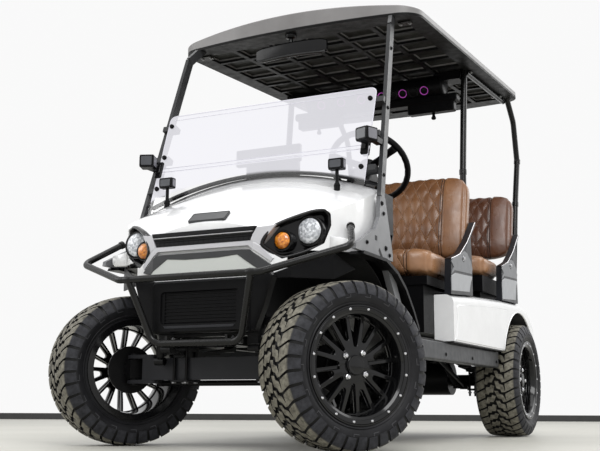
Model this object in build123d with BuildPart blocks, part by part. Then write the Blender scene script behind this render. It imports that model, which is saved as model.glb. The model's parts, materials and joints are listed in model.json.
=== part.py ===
from build123d import *
import os
from math import cos, radians, sin, tan

os.makedirs("parts", exist_ok=True)

# Four-seat electric golf cart on a raised suspension.
# Millimetres. The front faces -Y, +X is the cart's left (the driver's side), +Z is up.
# The origin is on the ground, under the middle of the bounding box.

# ---- driving dimensions: wheels and steering ----
wheelbase = 2040
front_axle_y = -1043
rear_axle_y = front_axle_y + wheelbase
tyre_radius = 292
tyre_width = 230
tread_width = 190
tread_crown = 6
rim_lip_radius = 203
bead_radius = 178
rim_width = 196
rim_lip = 9
barrel_wall = 6
spoke_count = 16
axle_z = tyre_radius
kingpin_x = 419
kingpin_to_wheel = 90
rest_steer = 32.7
rear_wheel_x = 532
spindle_radius = 17
kingpin_radius = 15
running_gap = 0.4
seat_gap = 0.3
moving_gap = 5
steering_arm = 110

# ---- driving dimensions: frame and floor ----
rail_width = 50
rail_height = 60
rail_bottom = 400
rail_top = rail_bottom + rail_height
front_rail_x = 185
rear_rail_x = 360
floor_thickness = 8
floor_top = rail_top + floor_thickness
rocker_low = 345
rocker_high = 424
rocker_outer = 570

# ---- driving dimensions: body widths, all from the rear body's ----
rear_body_half = 600
deck_half = rear_body_half - 88
rocker_inner = deck_half
floor_half = deck_half - 12
base_half = deck_half
cushion_half = deck_half + 18
seat_half = deck_half + 48
middle_post_x = deck_half - 18
rear_post_x = deck_half + 18

# ---- driving dimensions: seats ----
seat_front_y = front_axle_y + 745
base_back_y = seat_front_y + 500
cushion_depth = 420
cushion_thickness = 135
pan_height = 38
seat_base_top = 662
rear_seat_shift = wheelbase - 1190
rear_seat_raise = 75
back_height = 422
rear_back_height = 372
back_thickness = 130
back_recline = 12
wall = 5

# ---- driving dimensions: body and roof ----
cowl_rear_y = front_axle_y + 250
crest_z = 1075
crest_side_z = 977
arch_radius = 450
arch_y = front_axle_y + 20
arch_z = 250
rear_arch_radius = 355
deck_z = 722
roof_start = 460
roof_overhang = 290
roof_front_y = front_axle_y + roof_start
roof_length = wheelbase - roof_start + roof_overhang
roof_half = 585
roof_low_z = 1775
roof_slope = 4.0
roof_lip = 35
roof_crown = 45
post_radius = 16
guard_radius = 12.5


def tube(points, bend, radius):
    """Round bar along straight runs that are joined by arcs."""
    with BuildPart() as pipe:
        with BuildLine() as route:
            if len(points) > 2:
                FilletPolyline(*points, radius=bend)
            else:
                Line(*points)
        with BuildSketch(Plane(origin=route.line @ 0, z_dir=route.line % 0)):
            Circle(radius)
        sweep()
    return pipe.part


def bar(start, end, across_x, across_y):
    """Flat straight bar from one point to another."""
    run = Vector(*end) - Vector(*start)
    with BuildPart() as piece:
        with BuildSketch(Plane(origin=start, x_dir=(1, 0, 0), z_dir=run)):
            Rectangle(across_x, across_y)
        extrude(amount=run.length)
    return piece.part


def side_slab(outline, x_low, x_high, corner=0):
    """Plate with an outline given as (y, z) points, between two X planes."""
    with BuildPart() as slab:
        with BuildSketch(Plane.YZ.offset(x_low)) as face:
            with BuildLine():
                Polyline(*outline, close=True)
            make_face()
            if corner:
                fillet(face.vertices(), corner)
        extrude(amount=x_high - x_low)
    return slab.part


def block(x_span, y_span, z_span):
    """Plain box between two values on each axis."""
    with BuildPart() as piece:
        centre = [(span[0] + span[1]) / 2 for span in (x_span, y_span, z_span)]
        with Locations(Location(centre)):
            Box(x_span[1] - x_span[0], y_span[1] - y_span[0], z_span[1] - z_span[0])
    return piece.part


def round_bar(start, end, radius):
    """Straight round bar from one point to another."""
    return tube([start, end], 0, radius)


finished = {}


# ======== wheels ========
# The wheel is drawn with its axis along X and its outboard face towards +X.
with BuildPart() as tyre_blank:
    with BuildSketch(Plane.XY):
        tread_half = tread_width / 2
        bead_half = rim_width / 2
        shoulder_radius = tyre_radius - tread_crown
        with BuildLine():
            ThreePointArc((-tread_half, shoulder_radius), (0, tyre_radius), (tread_half, shoulder_radius))
            ThreePointArc(
                (tread_half, shoulder_radius), (tyre_width / 2, tyre_radius * 0.84), (bead_half, rim_lip_radius)
            )
            Polyline(
                (bead_half, rim_lip_radius),
                (bead_half, bead_radius),
                (-bead_half, bead_radius),
                (-bead_half, rim_lip_radius),
            )
            ThreePointArc(
                (-bead_half, rim_lip_radius), (-tyre_width / 2, tyre_radius * 0.84), (-tread_half, shoulder_radius)
            )
        make_face()
    revolve(axis=Axis.X)

hub_face = 66
hub_back = 12
hub_radius = 40
barrel_outer = bead_radius - seat_gap
barrel_inner = barrel_outer - barrel_wall
with BuildPart() as rim_blank:
    with BuildSketch(Plane.XY):
        lip_in = bead_half + seat_gap
        lip_out = lip_in + rim_lip
        with BuildLine():
            Polyline(
                (-lip_out, rim_lip_radius - 8),
                (-lip_in, rim_lip_radius - 8),
                (-lip_in, barrel_outer),
                (lip_in, barrel_outer),
                (lip_in, rim_lip_radius),
                (lip_out, rim_lip_radius),
                (lip_out, barrel_inner),
                (-lip_out, barrel_inner),
                close=True,
            )
        make_face()
    revolve(axis=Axis.X)
    with BuildSketch(Plane.YZ.offset(hub_back)):
        Circle(hub_radius)
    extrude(amount=hub_face - hub_back)
    with BuildSketch(Plane.YZ.offset(hub_face - 22)):
        with PolarLocations((hub_radius + barrel_inner) / 2, spoke_count):
            Rectangle(barrel_inner - hub_radius + 12, 15)
    extrude(amount=20)
    with BuildSketch(Plane.YZ.offset(hub_back)):
        Circle(spindle_radius + running_gap)
    extrude(amount=hub_face - hub_back - 14, mode=Mode.SUBTRACT)

turn = radians(rest_steer)
front_wheel_x = kingpin_x + kingpin_to_wheel * cos(turn)
front_wheel_shift = kingpin_to_wheel * sin(turn)
# name, centre x, centre y, turn about Z of the outboard axis
wheel_table = [
    ("front_left", front_wheel_x, front_axle_y - front_wheel_shift, -rest_steer),
    ("front_right", -front_wheel_x, front_axle_y + front_wheel_shift, 180 - rest_steer),
    ("rear_left", rear_wheel_x, rear_axle_y, 0),
    ("rear_right", -rear_wheel_x, rear_axle_y, 180),
]
for label, wheel_x, wheel_y, angle in wheel_table:
    place = Location((wheel_x, wheel_y, axle_z), (0, 0, angle))
    with BuildPart() as tyre:
        with Locations(place):
            add(tyre_blank.part)
    finished["tyre_" + label] = tyre
    with BuildPart() as rim:
        with Locations(place):
            add(rim_blank.part)
    finished["rim_" + label] = rim

# ======== steering knuckles, drawn for the left wheel pointing straight ahead ========
yoke_gap_half = 41
yoke_plate = 14
knuckle_half = yoke_gap_half - moving_gap
arm_low = -30
arm_thickness = 14
spindle_end = kingpin_to_wheel + hub_face - 24
with BuildPart() as knuckle_blank:
    Cylinder(kingpin_radius, 2 * (yoke_gap_half + yoke_plate + 6))
    Box(52, 56, 2 * knuckle_half)
    with BuildSketch(Plane.YZ.offset(20)):
        Circle(spindle_radius)
    extrude(amount=spindle_end - 20)
    with BuildSketch(Plane.YZ.offset(40)):
        Circle(92)
    extrude(amount=10)
    with BuildSketch(Plane.YZ.offset(20)):
        Circle(30)
    extrude(amount=25)
    with BuildSketch(Plane.XY.offset(arm_low)):
        with Locations((0, steering_arm / 2)):
            SlotCenterToCenter(steering_arm, 30, rotation=90)
    extrude(amount=arm_thickness)

with BuildPart() as knuckle_left:
    with Locations(Location((kingpin_x, front_axle_y, axle_z), (0, 0, -rest_steer))):
        add(knuckle_blank.part)
finished["knuckle_left"] = knuckle_left
with BuildPart() as knuckle_right:
    with Locations(Location((-kingpin_x, front_axle_y, axle_z), (0, 0, -rest_steer))):
        add(mirror(knuckle_blank.part, about=Plane.YZ, mode=Mode.PRIVATE))
finished["knuckle_right"] = knuckle_right

# ======== front axle ========
beam_half_y = 25
beam_low = 250
beam_high = 332
beam_end = kingpin_x - 62
with BuildPart() as front_axle:
    add(block((-beam_end, beam_end), (front_axle_y - beam_half_y, front_axle_y + beam_half_y), (beam_low, beam_high)))
    for side in (-1, 1):
        for level in (-1, 1):
            with BuildSketch(Plane.XY.offset(axle_z + level * (yoke_gap_half + yoke_plate / 2) - yoke_plate / 2)):
                with Locations((side * (kingpin_x - 42), front_axle_y)):
                    SlotCenterToCenter(84, 54)
            extrude(amount=yoke_plate)
        with Locations((side * (beam_end - 12), front_axle_y, axle_z)):
            Box(40, 2 * beam_half_y, 2 * (yoke_gap_half + yoke_plate))
        with Locations((side * kingpin_x, front_axle_y, axle_z)):
            Cylinder(kingpin_radius + running_gap, 200, mode=Mode.SUBTRACT)
finished["front_axle"] = front_axle

# ======== tie rod, under the steering arms ========
arm_x = steering_arm * sin(turn)
arm_y = steering_arm * cos(turn)
rod_radius = 11
stud_top = axle_z + arm_low - running_gap
rod_z = stud_top - 22
with BuildPart() as tie_rod:
    add(
        round_bar(
            (-kingpin_x + arm_x, front_axle_y + arm_y, rod_z),
            (kingpin_x + arm_x, front_axle_y + arm_y, rod_z),
            rod_radius,
        )
    )
    for side in (-1, 1):
        with BuildSketch(Plane.XY.offset(rod_z - 12)):
            with Locations((side * kingpin_x + arm_x, front_axle_y + arm_y)):
                Circle(15)
        extrude(amount=stud_top - rod_z + 12)
finished["tie_rod"] = tie_rod

# ======== leaf springs with their U-bolts ========
leaf_thickness = 8
leaf_count = 3
leaf_width = 44
eye_radius = 13
eye_pitch = 4
end_rise = 30
# axle y, spring x, seat height on the axle, reach ahead of the axle, reach behind it
spring_table = [
    (front_axle_y, front_rail_x, beam_high + seat_gap, 124, 330),
    (rear_axle_y, rear_rail_x, axle_z + 40 + seat_gap, 400, 275),
]


def leaf_lift(reach, longest):
    """Rise of a leaf's tip above its middle."""
    return end_rise * (reach / longest) ** 2


def spring_side(spring_y, seat_z, ahead, behind):
    """Outline (y, z) of a stack of leaves: a smooth top and a stepped underside."""
    longest = max(ahead, behind)
    top = seat_z + leaf_count * leaf_thickness

    def point(share, leaves):
        reach = share * (ahead if share < 0 else behind)
        return (spring_y + reach, top + leaf_lift(reach, longest) - leaves * leaf_thickness)

    upper = [point(share, 0) for share in (-1, -0.67, -0.33, 0, 0.33, 0.67, 1)]
    steps = [(1, 1), (0.67, 1), (0.67, 2), (0.33, 2), (0.33, 3), (0, 3)]
    lower = [point(share, leaves) for share, leaves in steps]
    lower += [point(-share, leaves) for share, leaves in reversed(steps[:-1])]
    return upper + lower


def eye_places(spring_y, seat_z, ahead, behind):
    """Centres (y, z) of the two eyes of a spring."""
    longest = max(ahead, behind)
    main_leaf = seat_z + (leaf_count - 0.5) * leaf_thickness
    return [
        (spring_y - ahead - eye_pitch, main_leaf + leaf_lift(ahead, longest)),
        (spring_y + behind + eye_pitch, main_leaf + leaf_lift(behind, longest)),
    ]


with BuildPart() as leaf_springs:
    for spring_y, spring_x, seat_z, ahead, behind in spring_table:
        for side in (-1, 1):
            inner_x = side * spring_x - leaf_width / 2
            inner_plane = Plane.YZ.offset(inner_x)
            add(side_slab(spring_side(spring_y, seat_z, ahead, behind), inner_x, inner_x + leaf_width))
            clamp_top = seat_z + leaf_count * leaf_thickness
            with Locations((side * spring_x, spring_y, clamp_top + 5)):
                Box(leaf_width + 16, 70, 10)
            with BuildSketch(inner_plane):
                with Locations(*eye_places(spring_y, seat_z, ahead, behind)):
                    Circle(eye_radius)
            extrude(amount=leaf_width)
finished["leaf_springs"] = leaf_springs

# ======== rear axle with the motor as one block ========
axle_tube = 30
rear_spindle_end = rear_wheel_x + hub_face - 24
with BuildPart() as rear_axle:
    add(round_bar((-rear_wheel_x + 90, rear_axle_y, axle_z), (rear_wheel_x - 90, rear_axle_y, axle_z), axle_tube))
    add(round_bar((-rear_spindle_end, rear_axle_y, axle_z), (rear_spindle_end, rear_axle_y, axle_z), spindle_radius))
    for side in (-1, 1):
        with BuildSketch(Plane.YZ.offset(side * (rear_wheel_x - 100) - 5)):
            with Locations((rear_axle_y, axle_z)):
                Circle(92)
        extrude(amount=10)
        with Locations((side * rear_rail_x, rear_axle_y, axle_z + axle_tube)):
            Box(leaf_width + 10, 60, 20)
    with BuildSketch(Plane.YZ.offset(-150)):
        with Locations((rear_axle_y, axle_z)):
            Circle(95)
    extrude(amount=110)
    with BuildSketch(Plane.YZ.offset(-40)):
        with Locations((rear_axle_y - 30, axle_z + 10)):
            Circle(88)
    extrude(amount=270)
finished["rear_axle"] = rear_axle

# ======== frame ========
front_cross_y = front_axle_y - 145
rail_join_y = front_axle_y + 470
frame_end_y = rear_axle_y + 300
seat_cross_y = base_back_y - 30
outrigger_rows = (front_axle_y + 600, seat_cross_y, rear_axle_y - 440)
with BuildPart() as frame:
    for side in (-1, 1):
        x_front = (side * front_rail_x - rail_width / 2, side * front_rail_x + rail_width / 2)
        add(block(x_front, (front_cross_y, rail_join_y + rail_width), (rail_bottom, rail_top)))
        x_rear = (side * rear_rail_x - rail_width / 2, side * rear_rail_x + rail_width / 2)
        add(block(x_rear, (rail_join_y, frame_end_y), (rail_bottom, rail_top)))
        for y in outrigger_rows:
            x_span = sorted((side * (rear_rail_x + rail_width / 2), side * rocker_inner))
            add(block(x_span, (y - 20, y + 20), (rail_bottom, rail_bottom + 40)))
    rear_inner = rear_rail_x + rail_width / 2
    add(block((-rear_inner, rear_inner), (rail_join_y, rail_join_y + rail_width), (rail_bottom, rail_top)))
    front_inner = front_rail_x + rail_width / 2
    add(block((-front_inner, front_inner), (front_cross_y, front_cross_y + 40), (rail_bottom, rail_top)))
    for spring_y, spring_x, seat_z, ahead, behind in spring_table:
        for eye_y, eye_z in eye_places(spring_y, seat_z, ahead, behind):
            hanger_low = eye_z + eye_radius + seat_gap
            for side in (-1, 1):
                x_span = (side * spring_x - leaf_width / 2, side * spring_x + leaf_width / 2)
                add(block(x_span, (eye_y - eye_radius, eye_y + eye_radius), (hanger_low, rail_bottom + 5)))
    for y in (seat_cross_y, frame_end_y - rail_width):
        add(block((-rear_inner, rear_inner), (y, y + rail_width), (rail_bottom, rail_top)))
finished["frame"] = frame

# ======== floor pan with its toe board ========
toe_board_y = front_axle_y + 424
toe_top_y = front_axle_y + 318
toe_top_z = 660
with BuildPart() as floor_pan:
    add(
        side_slab(
            [
                (seat_front_y - seat_gap, rail_top + seat_gap),
                (toe_board_y, rail_top + seat_gap),
                (toe_top_y, toe_top_z),
                (toe_top_y + floor_thickness, toe_top_z),
                (toe_board_y + floor_thickness, floor_top),
                (seat_front_y - seat_gap, floor_top),
            ],
            -floor_half,
            floor_half,
        )
    )
finished["floor_pan"] = floor_pan

with BuildPart() as rocker_panels:
    for side in (-1, 1):
        x_span = sorted((side * (rocker_inner + seat_gap), side * rocker_outer))
        add(block(x_span, (front_axle_y + 450, rear_axle_y - 340), (rocker_low, rocker_high)))
    fillet(rocker_panels.edges().filter_by(Axis.Y), 8)
finished["rocker_panels"] = rocker_panels

# ======== pedals ========
with BuildPart() as pedals:
    for pedal_x, pedal_width in ((190, 95), (320, 70)):
        add(
            side_slab(
                [
                    (toe_board_y + 46, 502),
                    (toe_board_y + 58, 506),
                    (toe_board_y + 11, 600),
                    (toe_board_y - 1, 594),
                ],
                pedal_x - pedal_width / 2,
                pedal_x + pedal_width / 2,
            )
        )
        add(
            bar(
                (pedal_x, toe_board_y + 22, 560),
                (pedal_x, toe_board_y - 60, 578),
                20,
                14,
            )
        )
    toe_face = [
        (toe_board_y - 200, rail_top),
        (toe_board_y + floor_thickness + seat_gap, floor_top),
        (toe_top_y + floor_thickness + seat_gap, toe_top_z),
        (toe_board_y - 200, toe_top_z),
    ]
    add(side_slab(toe_face, -floor_half, floor_half), mode=Mode.SUBTRACT)
finished["pedals"] = pedals

# ======== seat base, open at the top, and the battery pack inside ========
base_front_y = seat_front_y + 5
with BuildPart() as seat_base:
    add(block((-base_half, base_half), (base_front_y, base_back_y), (rail_top + seat_gap, seat_base_top)))
    add(
        block(
            (-base_half + wall, base_half - wall),
            (base_front_y + wall, base_back_y - wall),
            (floor_top, seat_base_top + 10),
        ),
        mode=Mode.SUBTRACT,
    )
finished["seat_base"] = seat_base
with BuildPart() as battery_pack:
    add(
        block(
            (-320, 320),
            (base_front_y + 60, base_back_y - 60),
            (floor_top + seat_gap, seat_base_top - 25),
        )
    )
finished["battery_pack"] = battery_pack


# ======== seats ========
def rounded_block(x_span, y_span, z_span, corner):
    """Cushion-like box with every edge rounded."""
    with BuildPart() as piece:
        add(block(x_span, y_span, z_span))
        fillet(piece.edges(), corner)
    return piece.part


def backrest(low_y, low_z, half_width, height):
    """Upright cushion, leaned back about its lower front edge."""
    lean = radians(back_recline)
    base = Plane(origin=(0, low_y, low_z), x_dir=(1, 0, 0), z_dir=(0, sin(lean), cos(lean)))
    with BuildPart() as piece:
        with BuildSketch(base):
            Rectangle(2 * half_width, back_thickness, align=(Align.CENTER, Align.MIN))
        extrude(amount=height)
        fillet(piece.edges(), 40)
    return piece.part


pan_low = seat_base_top + seat_gap
pan_high = pan_low + pan_height
seat_back_y = seat_front_y + cushion_depth
with BuildPart() as front_seat_pan:
    add(block((-cushion_half, cushion_half), (seat_front_y, seat_back_y), (pan_low, pan_high)))
    add(
        block(
            (-cushion_half + wall, cushion_half - wall),
            (seat_front_y + wall, seat_back_y - wall),
            (pan_low - 10, pan_high - wall),
        ),
        mode=Mode.SUBTRACT,
    )
finished["front_seat_pan"] = front_seat_pan
cushion_low = pan_high + seat_gap
with BuildPart() as front_cushion:
    add(
        rounded_block(
            (-cushion_half, cushion_half),
            (seat_front_y, seat_back_y),
            (cushion_low, cushion_low + cushion_thickness),
            38,
        )
    )
finished["front_cushion"] = front_cushion
rear_pan_low = deck_z + seat_gap
rear_cushion_low = 803
rear_cushion_thickness = 118
with BuildPart() as rear_seat_pan:
    add(
        block(
            (-cushion_half, cushion_half),
            (seat_front_y + rear_seat_shift, seat_back_y + rear_seat_shift - 30),
            (rear_pan_low, rear_cushion_low - seat_gap),
        )
    )
finished["rear_seat_pan"] = rear_seat_pan
with BuildPart() as rear_cushion:
    add(
        rounded_block(
            (-cushion_half, cushion_half),
            (seat_front_y + rear_seat_shift, seat_back_y + rear_seat_shift - 30),
            (rear_cushion_low, rear_cushion_low + rear_cushion_thickness),
            38,
        )
    )
finished["rear_cushion"] = rear_cushion
back_low_y = seat_front_y + 425
back_low_z = cushion_low + cushion_thickness + 14
with BuildPart() as front_backrest:
    add(backrest(back_low_y, back_low_z, seat_half, back_height))
finished["front_backrest"] = front_backrest
with BuildPart() as rear_backrest:
    rear_back_low_z = rear_cushion_low + rear_cushion_thickness + 47
    add(backrest(back_low_y + rear_seat_shift + 5, rear_back_low_z, seat_half, rear_back_height))
finished["rear_backrest"] = rear_backrest

# The rear body's top edge: distance behind the front axle, height
shoulder_table = [(885, 632), (1250, 660), (1750, 688), (wheelbase + 60, 700), (wheelbase + 200, 684)]


def shoulder_z(station):
    """Height of the rear body's top at a distance behind the front axle."""
    for (low, low_z), (high, high_z) in zip(shoulder_table, shoulder_table[1:]):
        if low <= station <= high:
            return low_z + (high_z - low_z) * (station - low) / (high - low)
    return shoulder_table[-1][1]


# ======== seat brackets: a plate, a bent flange and a foot at each end of both rows ========
bracket_inner = seat_half + seat_gap
bracket_outer = seat_half + 30
bracket_thickness = 8
bracket_start = 893
bracket_end = 1215
bracket_foot_x = seat_half - 20
# distance behind the front axle and height of the flange's upper face, for the front row
flange_upper = [(900, 788), (1028, 826), (1146, 898), (1277, 1010)]
flange_lower = [(1283, 1002), (1151, 889), (1032, 817), (909, 779)]
with BuildPart() as seat_brackets:
    for shift, rise in ((0, 0), (rear_seat_shift, rear_seat_raise)):
        stations = [bracket_start + shift, bracket_end + shift]
        stations += [knot for knot, z in shoulder_table if stations[0] < knot < stations[1]]
        foot = [(front_axle_y + station, shoulder_z(station) + seat_gap) for station in sorted(stations)]
        sole = [(y, z + bracket_thickness) for y, z in reversed(foot)]
        y = front_axle_y + shift
        upper = [(y + station, z + rise) for station, z in flange_upper]
        lower = [(y + station, z + rise) for station, z in flange_lower]
        front_edge = [(foot[0][0] + 16, foot[0][1] + 3), (foot[0][0] - 7, foot[0][1])]
        web = [*foot, (y + bracket_end, 800 + rise), (y + 1206, 936 + rise), *lower[1:]]
        for side in (-1, 1):
            web_x = sorted((side * (bracket_outer - bracket_thickness), side * bracket_outer))
            add(side_slab(web, *web_x))
            flange_x = sorted((side * bracket_inner, side * bracket_outer))
            add(side_slab(front_edge + upper + lower, *flange_x))
            foot_x = sorted((side * bracket_foot_x, side * bracket_outer))
            add(side_slab(foot + sole, *foot_x))
finished["seat_brackets"] = seat_brackets


# ======== front cowl: a thin shell lofted along the cart ========
def cowl_section(station, half_width, low_z, side_z, top_z, inset):
    """Arched front-view section at a distance behind the front axle."""
    with BuildSketch(Plane.XZ.offset(-(front_axle_y + station))) as section:
        w = half_width - inset
        with BuildLine():
            Line((-w, low_z), (w, low_z))
            Line((w, low_z), (w, side_z - inset))
            ThreePointArc((w, side_z - inset), (0, top_z - inset), (-w, side_z - inset))
            Line((-w, side_z - inset), (-w, low_z))
        make_face()
    return section.sketch


# station behind the axle, half width, height at the shoulder, height at the centre
cowl_table = [
    (-178, 205, 776, 812),
    (-110, 330, 806, 872),
    (-30, 452, 850, 925),
    (95, 505, 905, 990),
    (250, 528, 965, 1068),
]
cowl_low = 698
with BuildPart() as front_cowl:
    for station, half, side_z, top_z in cowl_table:
        add(cowl_section(station, half, cowl_low, side_z, top_z, 0))
    loft()
    cavity_sections = []
    for station, half, side_z, top_z in cowl_table:
        shift = wall if station == cowl_table[0][0] else 0
        extra = 5 if station == cowl_table[-1][0] else 0
        cavity_sections.append(cowl_section(station + shift + extra, half, cowl_low - 20, side_z, top_z, wall))
    loft(cavity_sections, mode=Mode.SUBTRACT)
    with BuildSketch(Plane.YZ.offset(-700)):
        with Locations((arch_y, arch_z)):
            Circle(arch_radius)
    extrude(amount=1400, mode=Mode.SUBTRACT)

# ======== lamps in dark bezels at the corners of the nose ========
bezel_turn = 38
bezel_thickness = 30
bezel_rim = 12
lamp_x = 367
lamp_z = 768
lamp_y = front_axle_y - 55
lamp_radius = 50
lamp_length = 58
turn_x = 286
turn_z = 724
turn_y = front_axle_y - 97
turn_radius = 34
turn_length = 40
# outline of a bezel: along it towards the outside of the cart, up it
bezel_outline = [
    (-128, -55), (-89, -80), (-48, -104), (41, -77), (105, -43), (131, 23),
    (129, 65), (110, 83), (67, 78), (-12, 49), (-74, 20), (-105, -13),
]


def almond(side, growth, low, high):
    """Prism with the bezel's outline, facing the corner of the nose."""
    facing = Plane(
        origin=(side * 335, front_axle_y - 112, 768),
        x_dir=(cos(radians(bezel_turn)), side * sin(radians(bezel_turn)), 0),
        z_dir=(side * sin(radians(bezel_turn)), -cos(radians(bezel_turn)), 0),
    )
    with BuildPart() as prism:
        with BuildSketch(facing.offset(low)) as face:
            with BuildLine():
                Polyline(*[(side * u, v) for u, v in bezel_outline], close=True)
            make_face()
            fillet(face.vertices(), 9)
            offset(amount=growth)
        extrude(amount=high - low)
    return prism.part


bezel_solids = []
for side in (-1, 1):
    with BuildPart() as bezel:
        add(almond(side, -seat_gap, -bezel_thickness, 8))
        add(almond(side, -bezel_rim, -bezel_thickness + 6, 20), mode=Mode.SUBTRACT)
        for x, y, z, radius in ((lamp_x, lamp_y, lamp_z, lamp_radius), (turn_x, turn_y, turn_z, turn_radius)):
            with BuildSketch(Plane.XZ.offset(-(y + 80))):
                with Locations((side * x, z)):
                    Circle(radius + seat_gap)
            extrude(amount=200, mode=Mode.SUBTRACT)
    bezel_solids.append(bezel.part)
with BuildPart() as lamp_bezels:
    add(bezel_solids)
with BuildPart() as headlamps:
    for side in (-1, 1):
        with BuildSketch(Plane.XZ.offset(-(lamp_y + lamp_length))):
            with Locations((side * lamp_x, lamp_z)):
                Circle(lamp_radius)
        extrude(amount=lamp_length)
with BuildPart() as turn_lamps:
    for side in (-1, 1):
        with BuildSketch(Plane.XZ.offset(-(turn_y + turn_length))):
            with Locations((side * turn_x, turn_z)):
                Circle(turn_radius)
        extrude(amount=turn_length)
with BuildPart(mode=Mode.PRIVATE) as cowl_cut:
    for side in (-1, 1):
        add(almond(side, 0, -90, 60))
with BuildPart() as cowl_trimmed:
    add(front_cowl.part - cowl_cut.part)
cowl_blocks = {}
badge_rise = 3
for growth in (seat_gap, badge_rise):
    with BuildPart() as grown:
        for station, half, side_z, top_z in cowl_table:
            add(cowl_section(station, half, cowl_low, side_z, top_z, -growth))
        loft()
    cowl_blocks[growth] = grown.part
finished["front_cowl"] = cowl_trimmed
finished["lamp_bezels"] = lamp_bezels
finished["headlamps"] = headlamps
finished["turn_lamps"] = turn_lamps

# ======== nose: grille insert, silver band, white lower panel, black bumper ========
nose_y = front_axle_y - 178
with BuildPart() as grille:
    add(block((-172, 172), (nose_y - 8 - seat_gap, nose_y - seat_gap), (728, 786)))
    for bar_z in (742, 757, 772):
        add(block((-160, 160), (nose_y - 16, nose_y - 8), (bar_z - 3, bar_z + 3)))
finished["grille"] = grille
with BuildPart() as badge:
    with BuildSketch(Plane.XY.offset(780)):
        with Locations((0, nose_y + 17)):
            RectangleRounded(160, 33, 7)
    extrude(amount=120)
    add(cowl_blocks[badge_rise], mode=Mode.INTERSECT)
    add(cowl_blocks[seat_gap], mode=Mode.SUBTRACT)
finished["badge"] = badge


def nose_strip(low_z, high_z, stand_off, thickness):
    """Wrap-round panel that follows the nose in plan."""
    y = front_axle_y
    with BuildPart() as piece:
        with BuildSketch(Plane.XY.offset(low_z)):
            with BuildLine():
                plan = Polyline(
                    (-455, y - 35 - stand_off),
                    (-335, y - 135 - stand_off),
                    (-210, y - 190 - stand_off),
                    (210, y - 190 - stand_off),
                    (335, y - 135 - stand_off),
                    (455, y - 35 - stand_off),
                )
                offset(plan, amount=thickness, side=Side.LEFT)
            make_face()
        extrude(amount=high_z - low_z)
    return piece.part


fascia_half = 318
with BuildPart() as front_fascia:
    add(nose_strip(600, cowl_low - seat_gap, 0, 6))
    add(block((-fascia_half, fascia_half), (front_axle_y - 260, front_axle_y), (590, cowl_low)), mode=Mode.INTERSECT)
    add(cowl_cut.part, mode=Mode.SUBTRACT)
finished["front_fascia"] = front_fascia
with BuildPart() as lower_bumper:
    add(block((-205, 205), (front_axle_y - 200, front_axle_y - 150), (410, 600 - seat_gap)))
    add(block((-197, 197), (front_axle_y - 192, front_axle_y - 140), (418, 592)), mode=Mode.SUBTRACT)
    add(block((-150, 150), (front_axle_y - 210, front_axle_y - 196), (438, 560)), mode=Mode.SUBTRACT)
finished["lower_bumper"] = lower_bumper

# ======== brush guard ========
guard_y = front_axle_y - 287
guard_z = 603
upper_points = [
    (-500, front_axle_y + 5, 792),
    (-570, front_axle_y - 148, 695),
    (-294, guard_y, guard_z),
    (294, guard_y, guard_z),
    (570, front_axle_y - 148, 695),
    (500, front_axle_y + 5, 792),
]
hoop_points = [
    (-255, guard_y, guard_z),
    (-183, front_axle_y - 222, 374),
    (183, front_axle_y - 222, 374),
    (255, guard_y, guard_z),
]
upper_tube = tube(upper_points, 38, guard_radius)
hoop_tube = tube(hoop_points, 48, guard_radius)
with BuildPart() as brush_guard:
    add(upper_tube)
    add(hoop_tube)
    for side in (-1, 1):
        x_span = sorted((side * 120, side * 130))
        add(block(x_span, (front_axle_y - 225, front_axle_y - 110), (374, rail_bottom - seat_gap)))
finished["brush_guard"] = brush_guard

# ======== inner fender liners over the front wheels ========
liner_wall = 5
liner_inner = 212
liner_outer = 504
with BuildPart() as fender_liners:
    for side in (-1, 1):
        x_low, x_high = sorted((side * liner_inner, side * liner_outer))
        with BuildSketch(Plane.YZ.offset(x_low)):
            with BuildLine():
                outer = CenterArc((arch_y, arch_z), arch_radius - 1, 26, 65)
                inner = CenterArc((arch_y, arch_z), arch_radius - 1 - liner_wall, 26, 65)
                Line(outer @ 0, inner @ 0)
                Line(outer @ 1, inner @ 1)
            make_face()
        extrude(amount=x_high - x_low)
        inner_wall = [
            (front_axle_y - 100, rail_top + 5),
            (front_axle_y + 360, rail_top + 5),
            (front_axle_y + 292, 600),
            (front_axle_y + 202, 658),
            (front_axle_y + 20, 697),
            (front_axle_y - 100, 680),
        ]
        with BuildSketch(Plane.YZ.offset(side * liner_inner - (liner_wall if side < 0 else 0))):
            with BuildLine():
                Polyline(*inner_wall, close=True)
            make_face()
        extrude(amount=liner_wall)
finished["fender_liners"] = fender_liners

# ======== dashboard ========
dash_y = cowl_rear_y + seat_gap
dash_depth = 170


def under_crest(drop, low_z, half, y_span):
    """Solid below the arched crest of the cowl, between two Y planes."""
    with BuildPart() as piece:
        with BuildSketch(Plane.XZ.offset(-y_span[1])):
            with BuildLine():
                ThreePointArc((-half, crest_side_z - drop), (0, crest_z - drop), (half, crest_side_z - drop))
                Polyline((half, crest_side_z - drop), (half, low_z), (-half, low_z), (-half, crest_side_z - drop))
            make_face()
        extrude(amount=y_span[1] - y_span[0])
    return piece.part


# ======== steering column and wheel ========
wheel_height = 1200
wheel_centre = Vector(270, seat_front_y + 5, wheel_height)
wheel_tilt = 45
wheel_axis = Vector(0, cos(radians(wheel_tilt)), sin(radians(wheel_tilt)))
wheel_radius = 175
grip_radius = 14
hub_drop = 50
column_radius = 22
column_start = wheel_centre - wheel_axis * (hub_drop + running_gap)
column_end = wheel_centre - wheel_axis * 520
with BuildPart() as steering_column:
    add(round_bar(tuple(column_start), tuple(column_end), column_radius))
    with BuildSketch(Plane(origin=column_start - wheel_axis * 20, x_dir=(1, 0, 0), z_dir=-wheel_axis)):
        RectangleRounded(110, 84, 18)
    extrude(amount=170)
finished["steering_column"] = steering_column
column_hole = round_bar(tuple(column_start), tuple(wheel_centre - wheel_axis * 560), column_radius + seat_gap)

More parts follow.
